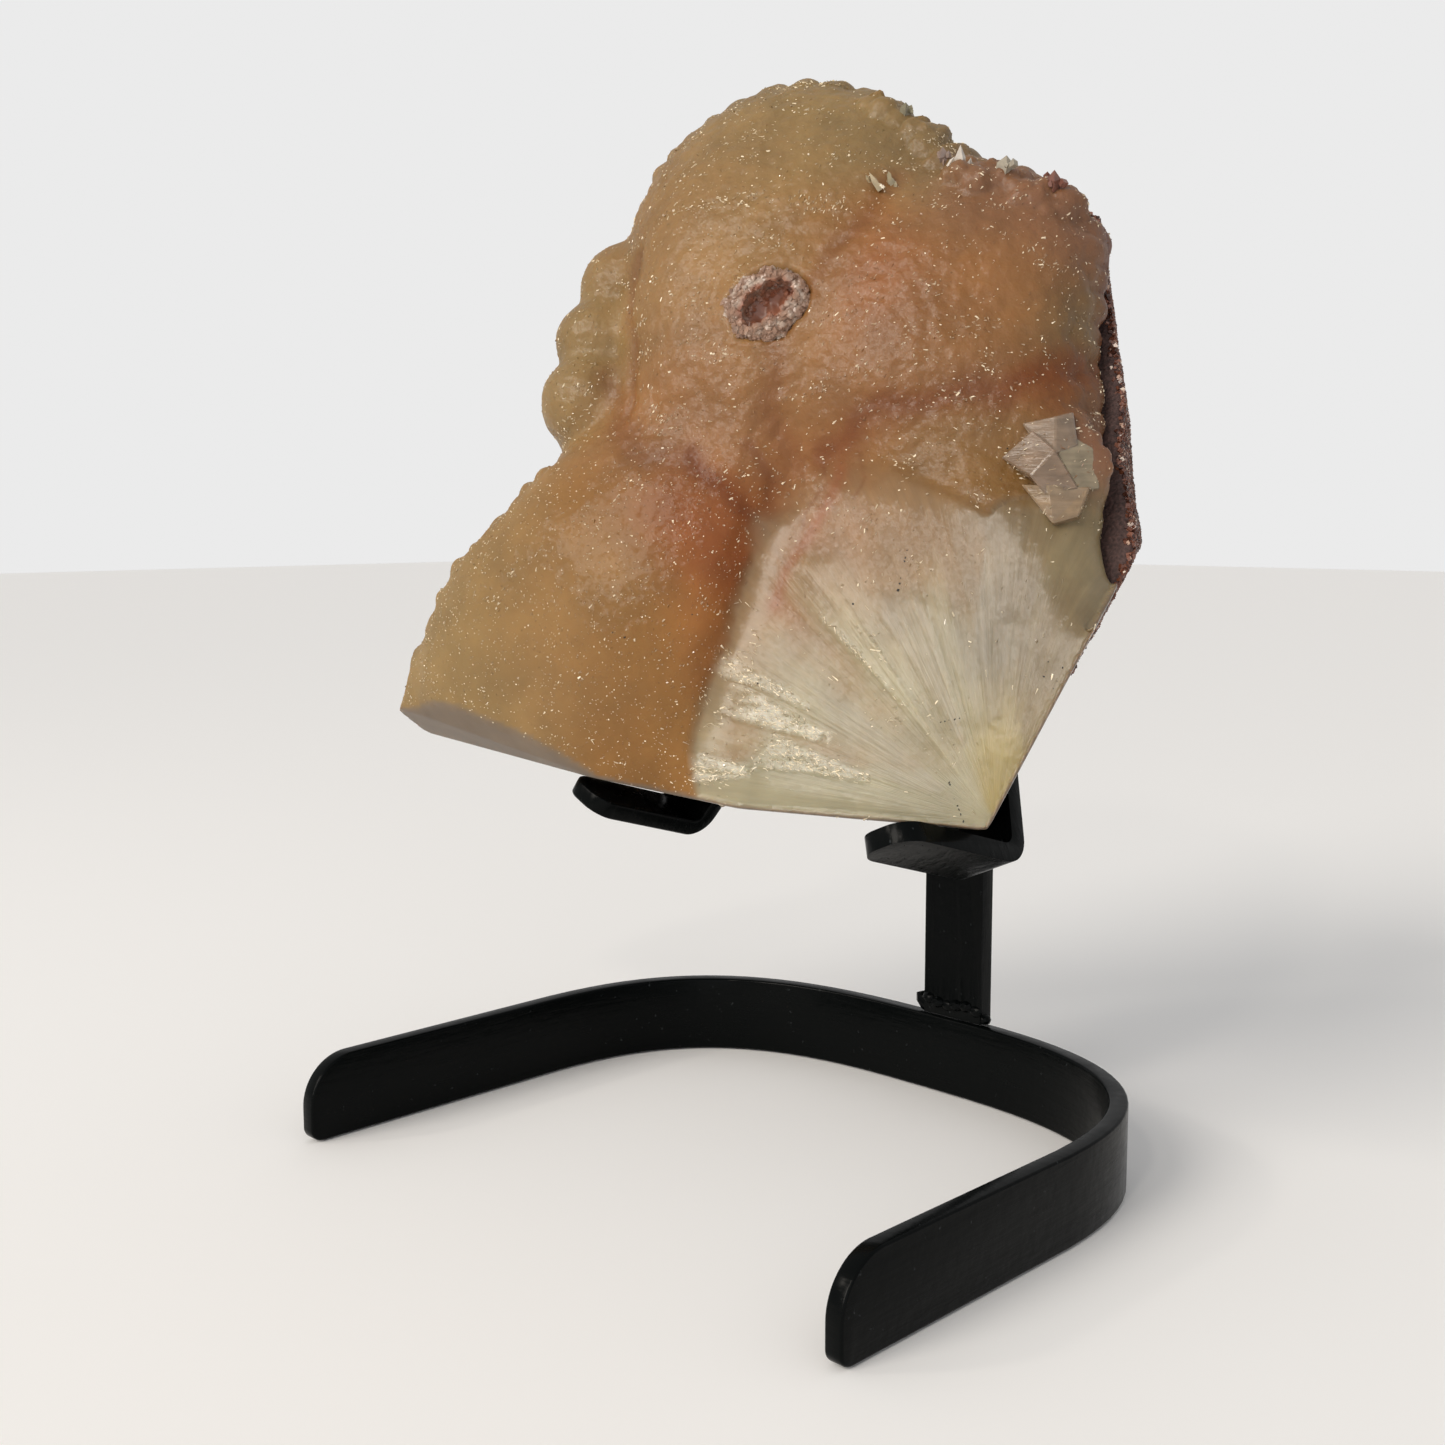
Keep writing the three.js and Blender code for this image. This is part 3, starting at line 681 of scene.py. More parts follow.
# Stilbite: translucent plates grown in sheaves. The skin is their fine ends, waxy with glints,
# and the broken face shows the sheaves' sides, pearly and fibrous. Refractive index about 1.5.
stilbiteFinish = {
    "grain": 0.9,  # single crystal ends
    "sugar": 1.1,  # and how they crowd
    "pebble": 2.4,  # small knobs of them
    "fibre": 0.8,
    "cloud": 13,
    "lean": 0.35,  # how far the crystal ends' faces tilt
    "cleavedLean": 0.04,
    "relief": 0.6,  # height of the bumps
    "reliefShare": 0.46,
    "cleavedRelief": 0.08,
    "rough": 0.48,  # of the skin
    "lobeRough": 0.3,  # this much more on the lower left lobe
    "fibreRough": 0.3,
}


def makeStilbite():
    material, tree, shader = startMaterial("stilbiteWaxyCrystal", {
        "IOR": 1.5, "Specular IOR Level": 0.3, "Subsurface Weight": 0.35,
        "Subsurface Radius": (0.0040, 0.0022, 0.0012), "Subsurface Scale": 1.0,
        "Coat Weight": 0.18, "Coat Roughness": 0.16, "Coat IOR": 1.5,
    })
    place = addNode(tree, "TexCoord").outputs["Object"]
    tone = addNode(tree, "Attribute", attribute_name="Tone").outputs["Color"]
    fibre = addNode(tree, "Attribute", attribute_name="Fibre").outputs["Fac"]
    polish = addNode(tree, "Attribute", attribute_name="Polish").outputs["Fac"]
    matte = addNode(tree, "Attribute", attribute_name="Matte").outputs["Fac"]
    fanPlace = addNode(tree, "Attribute", attribute_name="FanPlace").outputs["Vector"]
    # cloudy patches under the skin
    cloud = addNode(tree, "TexNoise", {"Scale": perMetre(stilbiteFinish["cloud"]), "Detail": 4.0},
                    {"Vector": place})
    cloudy = addNode(tree, "MapRange", {**noiseSpan, "To Min": 0.86, "To Max": 1.14},
                     {"Value": cloud.outputs["Fac"]})
    patched = addNode(tree, "VectorMath", None, {0: tone, "Scale": cloudy.outputs[0]}, operation="SCALE")
    # fibres that run from the fan's start
    streak = addNode(tree, "TexNoise", {"Scale": 1.0, "Detail": 5.0, "Roughness": 0.6},
                     {"Vector": fanPlace})
    pale = addNode(tree, "MapRange", {"From Min": 0.35, "From Max": 0.7, "To Min": 0.92, "To Max": 1.08},
                   {"Value": streak.outputs["Fac"]})
    streaked = addNode(tree, "VectorMath", None, {0: patched.outputs[0], "Scale": pale.outputs[0]},
                       operation="SCALE")
    colored = addNode(tree, "Mix", None, {0: fibre, 6: patched.outputs[0], 7: streaked.outputs[0]},
                      data_type="RGBA")
    tree.links.new(colored.outputs[2], shader.inputs["Base Color"])
    # satin on the broken face, waxy on the skin and duller still on the lower left lobe
    dull = addNode(tree, "Math", {1: stilbiteFinish["lobeRough"], 2: stilbiteFinish["rough"]}, {0: matte},
                   operation="MULTIPLY_ADD")
    rough = addNode(tree, "MapRange", {"To Max": stilbiteFinish["fibreRough"]},
                    {"Value": fibre, "To Min": dull.outputs[0]})
    tree.links.new(rough.outputs[0], shader.inputs["Roughness"])
    # relief: sugary ends on the skin, long ridges on the broken face, nearly none where it is cleaved
    sugar = addNode(tree, "TexNoise", {"Scale": perMetre(stilbiteFinish["sugar"]), "Detail": 3.0},
                    {"Vector": place})
    pebbles = addNode(tree, "TexVoronoi", {"Scale": perMetre(stilbiteFinish["pebble"]), "Smoothness": 0.6},
                      {"Vector": place}, feature="SMOOTH_F1")
    lumpy = addNode(tree, "Math", {1: 0.6}, {0: sugar.outputs["Fac"], 2: pebbles.outputs["Distance"]},
                    operation="MULTIPLY_ADD")
    fine = addNode(tree, "Math", {1: 0.5}, {0: streak.outputs["Fac"]}, operation="MULTIPLY")
    uneven = addNode(tree, "Mix", None, {0: fibre, 2: lumpy.outputs[0], 3: fine.outputs[0]})
    depth = addNode(tree, "MapRange", {
        "To Min": stilbiteFinish["reliefShare"], "To Max": stilbiteFinish["cleavedRelief"],
    }, {"Value": polish})
    bump = addNode(tree, "Bump", {"Distance": stilbiteFinish["relief"] * millimetre},
                   {"Height": uneven.outputs[0], "Strength": depth.outputs[0]})
    tree.links.new(bump.outputs[0], shader.inputs["Normal"])
    # each crystal end leans its own way in the thin glossy coat, which makes it glint
    cells = addNode(tree, "TexVoronoi", {"Scale": perMetre(stilbiteFinish["grain"])}, {"Vector": place})
    tilt = addNode(tree, "VectorMath", {1: (0.5, 0.5, 0.5)}, {0: cells.outputs["Color"]},
                   operation="SUBTRACT")
    leanShare = addNode(tree, "MapRange", {
        "To Min": stilbiteFinish["lean"], "To Max": stilbiteFinish["cleavedLean"],
    }, {"Value": polish})
    lean = addNode(tree, "VectorMath", None, {0: tilt.outputs[0], "Scale": leanShare.outputs[0]},
                   operation="SCALE")
    leaning = addNode(tree, "VectorMath", None, {0: bump.outputs[0], 1: lean.outputs[0]}, operation="ADD")
    glints = addNode(tree, "VectorMath", None, {0: leaning.outputs[0]}, operation="NORMALIZE")
    tree.links.new(glints.outputs[0], shader.inputs["Coat Normal"])
    return material


stilbite = makeStilbite()

# The cluster itself, one intergrown mass
stoneMass = {
    "voxel": 1.16,
    "rounds": 75,  # of smoothing
    "softShare": 0.22,  # of the skin, so that it runs smoothly
    "softest": 0.5,  # of the shoulder above the broken face
    "brokenShare": 0.12,
    "crispShare": 0.02,  # of the cleaved underside
    "valley": 7,  # how far from a crease the skin is smoothed like the shoulder
    "notch": (-14, 66),  # where the bulge meets the broken face, smoothed like it too
    "notchWidth": 9,
    "trim": ((-47, 21.5, 8.1), (-0.272, 0.58, -0.77)),  # the cleaved band along the foot of the left lobe
    "swells": (21, 0.9),  # width and height
    "knobs": (3.6, 0.4),  # the same on the face
    "rimKnobs": (5.4, 2.4, 0.4),  # the same where it turns away, and how much they run front to back
    "grains": (2.3, 0.14),
    "fanDepth": 1.1,  # how far the broken face is set back
    "pocketDepth": 1.5,
    "hollowDepth": 7,
}
rimRidge = {
    "line": [
        (7, 14, 163), (16, 13, 160.5), (25, 12, 152), (29, 17, 146),
        (42, 18, 141.5), (48, 17, 137), (52, 14, 139), (57, 9, 137),
    ],
    "every": 0.9,
    "scatter": 2.2,
    "wide": (3.0, 7.5),
    "high": (1.0, 3.2),
    "seed": 53,
}
bubbles = {"middle": (-58, 111), "half": (16, 30)}  # clear knobs beside the upper left swelling
blockBed = {"at": (59, 16.5, 77), "half": (12.5, 5, 12.5)}  # the stone that the blocky crystals sit in


def bubbleShare(places):
    across = (places[:, 0] - bubbles["middle"][0]) / bubbles["half"][0]
    up = (places[:, 2] - bubbles["middle"][1]) / bubbles["half"][1]
    return smoothStep(np.hypot(across, up), 1.15, 0.85)


def ridgeLumps(places):  # rounded glassy lumps along the upper right rim
    dice = np.random.default_rng(rimRidge["seed"])
    line = np.array(rimRidge["line"], float)
    runs = np.linalg.norm(np.diff(line, axis=0), axis=1)
    along = np.concatenate([[0], np.cumsum(runs)])
    stops = np.arange(0, along[-1], rimRidge["every"])
    lift = np.zeros(len(places))
    for stop in stops:
        spot = np.array([np.interp(stop, along, line[:, axis]) for axis in range(3)])
        spot += dice.normal(0, rimRidge["scatter"], 3)
        centre = places[np.argmin(np.linalg.norm(places - spot, axis=1))]
        wide, high = dice.uniform(*rimRidge["wide"]), dice.uniform(*rimRidge["high"])
        gap = np.linalg.norm((places - centre) * dice.uniform(0.8, 1.25, 3), axis=1) / (wide / 2)
        lift = np.maximum(lift, high * np.sqrt(np.clip(1 - np.square(gap), 0, 1)))
    return lift


def rear(places, start):  # 1 where the mass lies against the host rock, 0 in front of it and above it
    return smoothStep(-places[:, 1], start, start + 10) * smoothStep(places[:, 2], 140, 128)


def lowerLobe(places):  # 1 on the lower left lobe, which is smoother than the others
    return smoothStep(places[:, 2], 84, 68) * smoothStep(places[:, 0], 4, -6)


def addFinish(mesh):  # the values that the stilbite material reads
    places = placesOf(mesh)
    tones, pale = toneAt(places, facingOut(normalsOf(mesh)))
    angle, distance = fanPolar(places)
    fibres = np.stack([
        np.radians(angle) * 40 / stilbiteFinish["fibre"],
        distance / 22,
        places[:, 1] / 9,
    ], axis=1)
    addColors(mesh, "Tone", tones)
    addValues(mesh, "Fibre", pale)
    addValues(mesh, "Polish", np.maximum(flatShare(places), 0.7 * lowerLobe(places)))
    addValues(mesh, "Matte", lowerLobe(places) * (1 - pale))
    addValues(mesh, "FanPlace", fibres, "FLOAT_VECTOR")


def wholeStone():  # the mass with the hollows for the pocket's crust and the blocks filled, so nothing gapes
    shape = mergedCopy("stilbite_mass")
    shape.from_mesh(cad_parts["pocket_crust"].data)
    bed = bmesh.ops.create_icosphere(shape, subdivisions=3, radius=1)["verts"]
    turn = Matrix((clusterAxes * blockBed["half"]).tolist()).to_4x4()
    place = Matrix.Translation(Vector(fromCluster([blockBed["at"]])[0]))
    bmesh.ops.transform(shape, matrix=place @ Matrix.Scale(millimetre, 4) @ turn, verts=bed)
    faces = list({face for corner in bed for face in corner.link_faces})
    bmesh.ops.recalc_face_normals(shape, faces=faces)
    return remeshed(meshFrom(shape, "stoneMass"), stoneMass["voxel"])


def finerFan(mesh):  # smaller squares on the broken face, for its plates
    places = placesOf(mesh)
    angle, distance = fanPolar(places)
    reach = np.interp(angle, fan["angles"], fan["reaches"])
    wanted = (brokenShare(places) > 0.5) & (distance < reach + 1)
    shape = bmesh.new()
    shape.from_mesh(mesh)
    edges = [edge for edge in shape.edges if wanted[edge.verts[0].index] and wanted[edge.verts[1].index]]
    bmesh.ops.subdivide_edges(shape, edges=edges, cuts=1, use_grid_fill=True)
    bpy.data.meshes.remove(mesh)
    return meshFrom(shape, "stoneMass")


def stoneSoftness(places):  # how far each corner moves in a round of smoothing
    across, out, up = places.T
    broken, flat = brokenShare(places), flatShare(places)
    above = {name: beyondPlane(places, plane) for name, plane in brokenPlanes.items()}
    topWall = smoothStep(above["top"], 7, 1) * smoothStep(across, -12, -4)
    topWall *= smoothStep(above["floor"], -6, -2)
    corner = smoothStep(above["left"], 12, 3) * smoothStep(above["floor"], 12, 3) * broken
    fromNotch = np.linalg.norm(places[:, [0, 2]] - stoneMass["notch"], axis=1)
    notch = np.exp(-np.square(fromNotch / stoneMass["notchWidth"])) * (out > 5)
    rightFold = smoothStep(across, 52, 60) * smoothStep(up, 26, 40) * smoothStep(up, 76, 68)
    shoulder = np.max([topWall, corner, notch, rightFold * (out > 0)], axis=0)
    share = mixed(stoneMass["softShare"], stoneMass["brokenShare"], broken)
    share = mixed(share, stoneMass["softest"], shoulder)
    share = mixed(share, stoneMass["crispShare"], flat)
    lines = [distanceToLine(places[:, [0, 2]], crease["line"]) for crease in creases.values()]
    valley = np.exp(-np.square(np.min(lines, axis=0) / stoneMass["valley"])) * smoothStep(out, -5, 5)
    share = np.maximum(share, stoneMass["softest"] * valley * (1 - flat))
    behind = smoothStep(-out, 6, 14)
    share *= (1 - 0.9 * behind) * (1 - 0.6 * bubbleShare(places))
    return share


def skinLift(places, outward):  # knobs, lumps and creases, and the pocket's hollow
    across, up = places[:, 0], places[:, 2]
    broken, lobe, clear = brokenShare(places), lowerLobe(places), bubbleShare(places)
    width, high = stoneMass["swells"]
    lift = high * rippled(places, width, 2) * (1 - broken)
    turning = smoothStep(outward, 0.8, 0.4) * (1 - clear) * (1 - broken)
    turning *= 1 - smoothStep(across, 56, 66) * smoothStep(up, 76, 62)
    width, high = stoneMass["knobs"]
    lift += high * (1 - turning) * (pebbled(places, width, 4) - 0.6) * (1 - 0.7 * np.maximum(clear, lobe))
    width, high, run = stoneMass["rimKnobs"]
    lift += high * turning * (1 + 0.7 * lobe) * (pebbled(places * (1, run, 1), width, 8) - 0.7)
    width, high = stoneMass["grains"]
    lift += high * rippled(places, width, 6)
    lift += ridgeLumps(places)
    lift -= creaseValues(places, outward)[0]
    inPocket = pocketInside(places)
    inHollow = ovalInside(places, pocket["hollowHalf"])
    lift -= stoneMass["pocketDepth"] * smoothStep(inPocket, 0.97, 0.8) * smoothStep(outward, 0.2, 0.5)
    lift -= stoneMass["hollowDepth"] * smoothStep(inHollow, 1.5, 0.9) * (inPocket < 1)
    return lift


def stoneLift(places, outward):
    flat = flatShare(places)
    angle, distance = fanPolar(places)
    fibrous = fanShare(places, angle, distance) * (1 - flat)
    skin = (1 - fibrous) * (1 - flat) * (1 - rear(places, 24))
    fibreLift = fanLift(places, angle, distance) - stoneMass["fanDepth"]
    return skinLift(places, outward) * skin + fibreLift * fibrous


def makeStoneMass():
    mesh = wholeStone()
    softened(mesh, stoneSoftness(placesOf(mesh)), stoneMass["rounds"])
    mesh = finerFan(mesh)
    places = placesOf(mesh)
    over = np.maximum(beyondPlane(places, stoneMass["trim"]), 0)
    moveCorners(mesh, fromCluster(places - over[:, None] * unit(np.array(stoneMass["trim"][1]))))
    points, normals = cornersOf(mesh), normalsOf(mesh)
    lift = stoneLift(toCluster(points), facingOut(normals))
    moveCorners(mesh, points + normals * lift[:, None] * millimetre)
    addFinish(mesh)
    return mesh


# The pocket's place in the stone: a ring of sugary crystals round a hollow
pocket = {
    "at": (-5.8, 30.6, 111.6),
    "half": (10.6, 8.7),
    "hollowHalf": (5.0, 2.9),
    "turn": 38,
    "voxel": 0.5,
    "softening": (0.35, 8),  # share and rounds
    "raise": 1.8,  # of the hollow's floor, towards its mouth
    "crystals": 900,
    "wide": (0.8, 2.2),
    "high": (0.5, 1.2),
    "lean": 0.5,
    "sunk": 0.4,
    "seed": 71,
    "tones": {"lilac": "#9b7a66", "white": "#bfae9f", "hollow": "#a0674e"},
}


def ovalInside(places, half):  # 1 on that oval's line round the pocket's middle, less inside it
    turn = math.radians(pocket["turn"])
    across = places[:, 0] - pocket["at"][0]
    up = places[:, 2] - pocket["at"][2]
    along = across * math.cos(turn) + up * math.sin(turn)
    beside = up * math.cos(turn) - across * math.sin(turn)
    return np.hypot(along / half[0], beside / half[1])


def pocketInside(places):  # 1 on its ragged edge, less inside it, and far more behind the face
    ragged = 0.12 * rippled(places, 3.5, 4) + 0.08 * rippled(places, 1.5, 6)
    return ovalInside(places, pocket["half"]) + ragged + 10 * (places[:, 1] < 15)


massMesh = makeStoneMass()
newPiece("stoneMass", massMesh, stilbite, ["stilbite_mass"])
print("stone mass", len(massMesh.polygons), "faces")

# The ends of single crystals on the skin: small facets in drifts, a few of them painted near white as glints
skinGlints = {
    "count": 9500,
    "long": (0.35, 1.3),
    "wide": (0.24, 0.5),
    "high": (0.15, 0.35),
    "lean": 0.4,
    "seed": 20,
}
sugarGlints = {  # the finest ones, most of them on the lower left lobe
    "count": 8000,
    "long": (0.25, 0.5),
    "wide": (0.2, 0.36),
    "high": (0.12, 0.28),
    "lean": 0.5,
    "seed": 23,
}
silverGlints = {  # along the fibres of the broken face
    "count": 1500,
    "long": (0.5, 2.4),
    "wide": (0.2, 0.4),
    "high": (0.1, 0.25),
    "lean": 0.25,
    "seed": 21,
}


def makeFacets():
    material, tree, shader = startMaterial("stilbiteCrystalEnds", {"IOR": 1.5, "Roughness": 0.14})
    tone = addNode(tree, "Attribute", attribute_name="Tone").outputs["Color"]
    tree.links.new(tone, shader.inputs["Base Color"])
    return material


facets = makeFacets()


def makeGlints(name, sizes, weights, radial=False, ground=massMesh):
    spots, normals, dice = sampled(ground, weights, sizes["count"], sizes["seed"])
    places = toCluster(spots)
    if radial:  # along the fibres
        trend = directionFromCluster(unit(places - np.array(fan["apex"])))
    else:
        flow = rippled(places, 30, 14) * 2 + 0.5
        trend = directionFromCluster(np.stack([np.cos(flow), np.zeros(len(flow)), np.sin(flow)], axis=1))
    axes = axesAlong(normals, dice, sizes["lean"], trend + dice.normal(0, 0.35, trend.shape))
    extent = np.stack([dice.uniform(*sizes[side], len(spots)) for side in ("long", "wide", "high")], axis=1)
    extent *= dice.uniform(0.6, 1.1, (len(spots), 1))
    mesh, corners = joinedCopies(ridgeTemplate(), spots, axes, extent * millimetre, name)
    tones = toneAt(placesOf(mesh), np.repeat(facingOut(normals), corners))[0]
    # painted glint: a few facets are painted towards near white
    glintPaint = np.repeat(0.05 + 0.95 * dice.random(len(spots)) ** 2.5, corners)[:, None]
    addColors(mesh, "Tone", opaque(mixed(tones[:, :3], toneOf("paintedGlint"), glintPaint)))
    newPiece(name, mesh, facets)


def makeSkinGlints():
    places = placesOf(massMesh)
    angle, distance = fanPolar(places)
    pale = fanShare(places, angle, distance)
    skin = (1 - pale) * (1 - flatShare(places))
    lobe, inPocket = lowerLobe(places), pocketInside(places)
    drifts = rippled(places * (0.5, 1, 1.3), 6, 12) + 0.5 * rippled(places, 2, 15)
    bare = skin * (1 - rear(places, 22))
    bare *= smoothStep(drifts, 0.1, 0.7) ** 2 + 0.05
    bare *= smoothStep(inPocket, 0.9, 1.0) * (1 - 0.55 * lobe)
    makeGlints("skinGlints", skinGlints, bare)
    front = skin * smoothStep(places[:, 1], -5, 5) * (inPocket > 1)
    makeGlints("sugarGlints", sugarGlints, front * (0.3 + 0.7 * lobe))
    ragged = raggedness(places)
    # glint facets where the sheen is painted, and along the left margin
    paintedSheenPlates = [plate for plate in fanPlates.values() if plate[5] == "paintedSheen"]
    paintedSheen = sum(plateShare(plate, angle, distance, ragged) for plate in paintedSheenPlates)
    reach = np.interp(angle, fan["angles"], fan["reaches"])
    margin = smoothStep(distance, reach - 12, reach - 3) * smoothStep(angle, 40, 25)
    margin *= smoothStep(rippled(places, 4, 3), 0, 0.4)
    makeGlints("silverGlints", silverGlints, pale * (paintedSheen + 0.5 * margin + 0.004), radial=True)


makeSkinGlints()
print("glints")

# Host rock: fine dark basalt, rough where it broke, with a sparkling plum skin of tiny crystals at its edge
hostRock = {
    "voxel": 1.4,
    "softening": (0.3, 6),  # share and rounds
    "hollows": (9, 2.2),  # width and depth
    "lumps": (3.5, 0.8),
    "join": 0.6,  # how far it reaches into the stilbite
    "grain": 0.8,
    "relief": 0.8,
}


def makeBasalt():
    material, tree, shader = startMaterial("basaltRough", {"IOR": 1.55})
    place = addNode(tree, "TexCoord").outputs["Object"]
    tone = addNode(tree, "Attribute", attribute_name="Tone").outputs["Color"]
    grain = addNode(tree, "TexNoise", {"Scale": perMetre(hostRock["grain"]), "Detail": 5.0},
                    {"Vector": place})
    vary = addNode(tree, "MapRange", {**noiseSpan, "To Min": 0.55, "To Max": 1.6},
                   {"Value": grain.outputs["Fac"]})
    toned = addNode(tree, "VectorMath", None, {0: tone, "Scale": vary.outputs[0]}, operation="SCALE")
    tree.links.new(toned.outputs[0], shader.inputs["Base Color"])
    rough = addNode(tree, "MapRange", {"To Min": 0.95, "To Max": 0.55}, {"Value": grain.outputs["Fac"]})
    tree.links.new(rough.outputs[0], shader.inputs["Roughness"])
    bump = addNode(tree, "Bump", {"Distance": hostRock["relief"] * millimetre, "Strength": 0.7},
                   {"Height": grain.outputs["Fac"]})
    tree.links.new(bump.outputs[0], shader.inputs["Normal"])
    return material


basalt = makeBasalt()
rockTones = {"dark": "#1f1b1a", "brown": "#2f2420", "plum": "#3f2a26"}


def rockToneAt(places):
    tones = {name: linearTone(text) for name, text in rockTones.items()}
    share = smoothStep(rippled(places, 14, 3), -0.3, 0.4)[:, None]
    plum = smoothStep(places[:, 1], -26, -12)[:, None]
    return opaque(mixed(mixed(tones["dark"], tones["brown"], share), tones["plum"], plum))


def makeHostRock():
    mesh = remeshed(meshFrom(mergedCopy("matrix_rock"), "hostRock"), hostRock["voxel"])
    softShare, rounds = hostRock["softening"]
    softened(mesh, np.full(len(mesh.vertices), softShare), rounds)
    points, normals = cornersOf(mesh), normalsOf(mesh)
    places = toCluster(points)
    width, deep = hostRock["hollows"]
    hollow = smoothStep(rippled(places, width, 5), -0.1, 0.7) * deep
    width, high = hostRock["lumps"]
    lump = (0.5 - 0.5 * rippled(places, width, 9)) * high
    joined = smoothStep(facingOut(normals), 0.3, 0.7)
    rough = 0.35 + 0.65 * smoothStep(-places[:, 1], 14, 19)  # more so at the back
    lift = -(hollow + lump) * (1 - joined) * rough + hostRock["join"] * joined
    moveCorners(mesh, points + normals * lift[:, None] * millimetre)
    addColors(mesh, "Tone", rockToneAt(placesOf(mesh)))
    newPiece("hostRock", mesh, basalt, ["matrix_rock"])
    return mesh


rockMesh = makeHostRock()
print("host rock", len(rockMesh.polygons), "faces")

# Clear and milky crystals: flat faced and glassy. Refractive index 1.53, as in apophyllite
clearFinish = {"through": 0.45, "rough": 0.1}
milkyFinish = {"through": 0.15, "rough": 0.28}
flawSize = 1.5


def makeCrystalMaterial(name, finish):
    material, tree, shader = startMaterial(name, {
        "IOR": 1.53, "Roughness": finish["rough"], "Transmission Weight": finish["through"],
    })
    place = addNode(tree, "TexCoord").outputs["Object"]
    tone = addNode(tree, "Attribute", attribute_name="Tone").outputs["Color"]
    flaws = addNode(tree, "TexNoise", {"Scale": perMetre(flawSize), "Detail": 4.0}, {"Vector": place})
    vary = addNode(tree, "MapRange", {**noiseSpan, "To Min": 0.82, "To Max": 1.15},
                   {"Value": flaws.outputs["Fac"]})
    shade = addNode(tree, "VectorMath", None, {0: tone, "Scale": vary.outputs[0]}, operation="SCALE")
    tree.links.new(shade.outputs[0], shader.inputs["Base Color"])
    bump = addNode(tree, "Bump", {"Distance": 0.0002, "Strength": 0.4}, {"Height": flaws.outputs["Fac"]})
    tree.links.new(bump.outputs[0], shader.inputs["Normal"])
    return material


clearCrystal = makeCrystalMaterial("glassyCrystal", clearFinish)
milkyCrystal = makeCrystalMaterial("milkyCrystalCrust", milkyFinish)

# The rim's clear crystals: where each group stands, how large its main one is, its aim, tone and lesser ones
rimCrystals = {
    "lilacGroup": ((27, 17, 148.4), (3.6, 3.2, 4.2), (0.2, 0.6, 0.7), "#b8a093", 4),
    "whiteShard": ((32.4, 21, 145.2), (3.2, 2.6, 6.2), (0.3, 0.3, 1.0), "#f3ebe0", 3),
    "silverStep": ((42.1, 19, 144.2), (3.8, 3.4, 3.8), (0.2, 0.4, 1.0), "#bdb3a0", 3),
    "plumPeak": ((52, 15, 141.5), (3.6, 3.2, 4.4), (0.1, 0.5, 1.0), "#9a6a5c", 5),
    "plumRight": ((55.4, 11, 139), (3.2, 2.8, 3.6), (0.5, 0.5, 0.8), "#9a7264", 3),
    "longShard": ((14.4, 24.4, 140.4), (1.8, 1.6, 4.6), (-0.6, 0.5, 0.6), "#cfc0a0", 2),
    "shortShard": ((17.0, 21.4, 141.6), (2.2, 1.8, 3.4), (-0.4, 0.6, 0.6), "#c4b592", 3),
    "topPoints": ((16, 14, 162), (2.4, 2.2, 2.8), (0.3, 0.4, 1.0), "#a59c80", 5),
    "topPointsLow": ((22, 13, 157), (2.4, 2.2, 2.8), (0.4, 0.4, 0.9), "#9c9278", 4),
}
rimSeed = 50


def makeRimCrystals():
    dice = np.random.default_rng(rimSeed)
    places, aims, sizes, tones = [], [], [], []
    for at, size, aim, tone, around in rimCrystals.values():
        for copy in range(around + 1):
            share = 1.0 if copy == 0 else dice.uniform(0.35, 0.65)
            shift = 0.0 if copy == 0 else 0.4 * max(size)
            places.append(np.array(at) + dice.normal(0, 1, 3) * shift * (1, 0.4, 0.5))
            aims.append(unit(np.array(aim)) + dice.normal(0, 0.12 if copy == 0 else 0.4, 3))
            sizes.append(np.array(size) * share)
            tones.append(linearTone(tone) * dice.uniform(0.85, 1.15))
    outs = directionFromCluster(unit(np.array(aims)))
    sizes = np.array(sizes) * millimetre
    spots = fromCluster(np.array(places)) - outs * sizes[:, 2:] * 0.45
    mesh, corners = joinedCopies(pointedTemplate(), spots, axesAlong(outs, dice, 0.02), sizes, "rimCrystals")
    addColors(mesh, "Tone", opaque(np.repeat(np.array(tones), corners, axis=0)))
    newPiece("rimCrystals", mesh, clearCrystal)


makeRimCrystals()


def pocketTones(places):
    tones = {name: linearTone(text) for name, text in pocket["tones"].items()}
    inside = ovalInside(places, pocket["hollowHalf"]) + 0.22 * rippled(places, 2.2, 4)
    share = smoothStep(rippled(places, 2.2, 2), 0, 0.45)[:, None]
    dark = smoothStep(inside, 1.6, 1.05)[:, None]
    return opaque(mixed(mixed(tones["lilac"], tones["white"], share), tones["hollow"], dark)), inside


def crustMesh():  # lumpy, set back a little and with its hollow's floor raised
    mesh = remeshed(meshFrom(mergedCopy("pocket_crust"), "pocketCrust"), pocket["voxel"])
    softShare, rounds = pocket["softening"]
    softened(mesh, np.full(len(mesh.vertices), softShare), rounds)
    points, normals = cornersOf(mesh), normalsOf(mesh)
    places = toCluster(points)
    inPocket, inHollow = pocketInside(places), ovalInside(places, pocket["hollowHalf"])
    lift = 0.5 * rippled(places, 2.6, 3) + 0.6 * (pebbled(places, 2.2, 5) - 0.6) - 1.0
    lift -= 0.5 * smoothStep(inPocket, 0.85, 1.15)
    lift += 0.9 * smoothStep(inHollow, 1.0, 1.5) * smoothStep(inPocket, 0.95, 0.75)
    moveCorners(mesh, points + normals * lift[:, None] * millimetre)
    floorShare = smoothStep(inHollow, 1.5, 0.9) * smoothStep(facingOut(normals), 0.1, 0.6)
    moveCorners(mesh, fromCluster(placesOf(mesh) + pocket["raise"] * floorShare[:, None] * (0, 1, 0)))
    return mesh


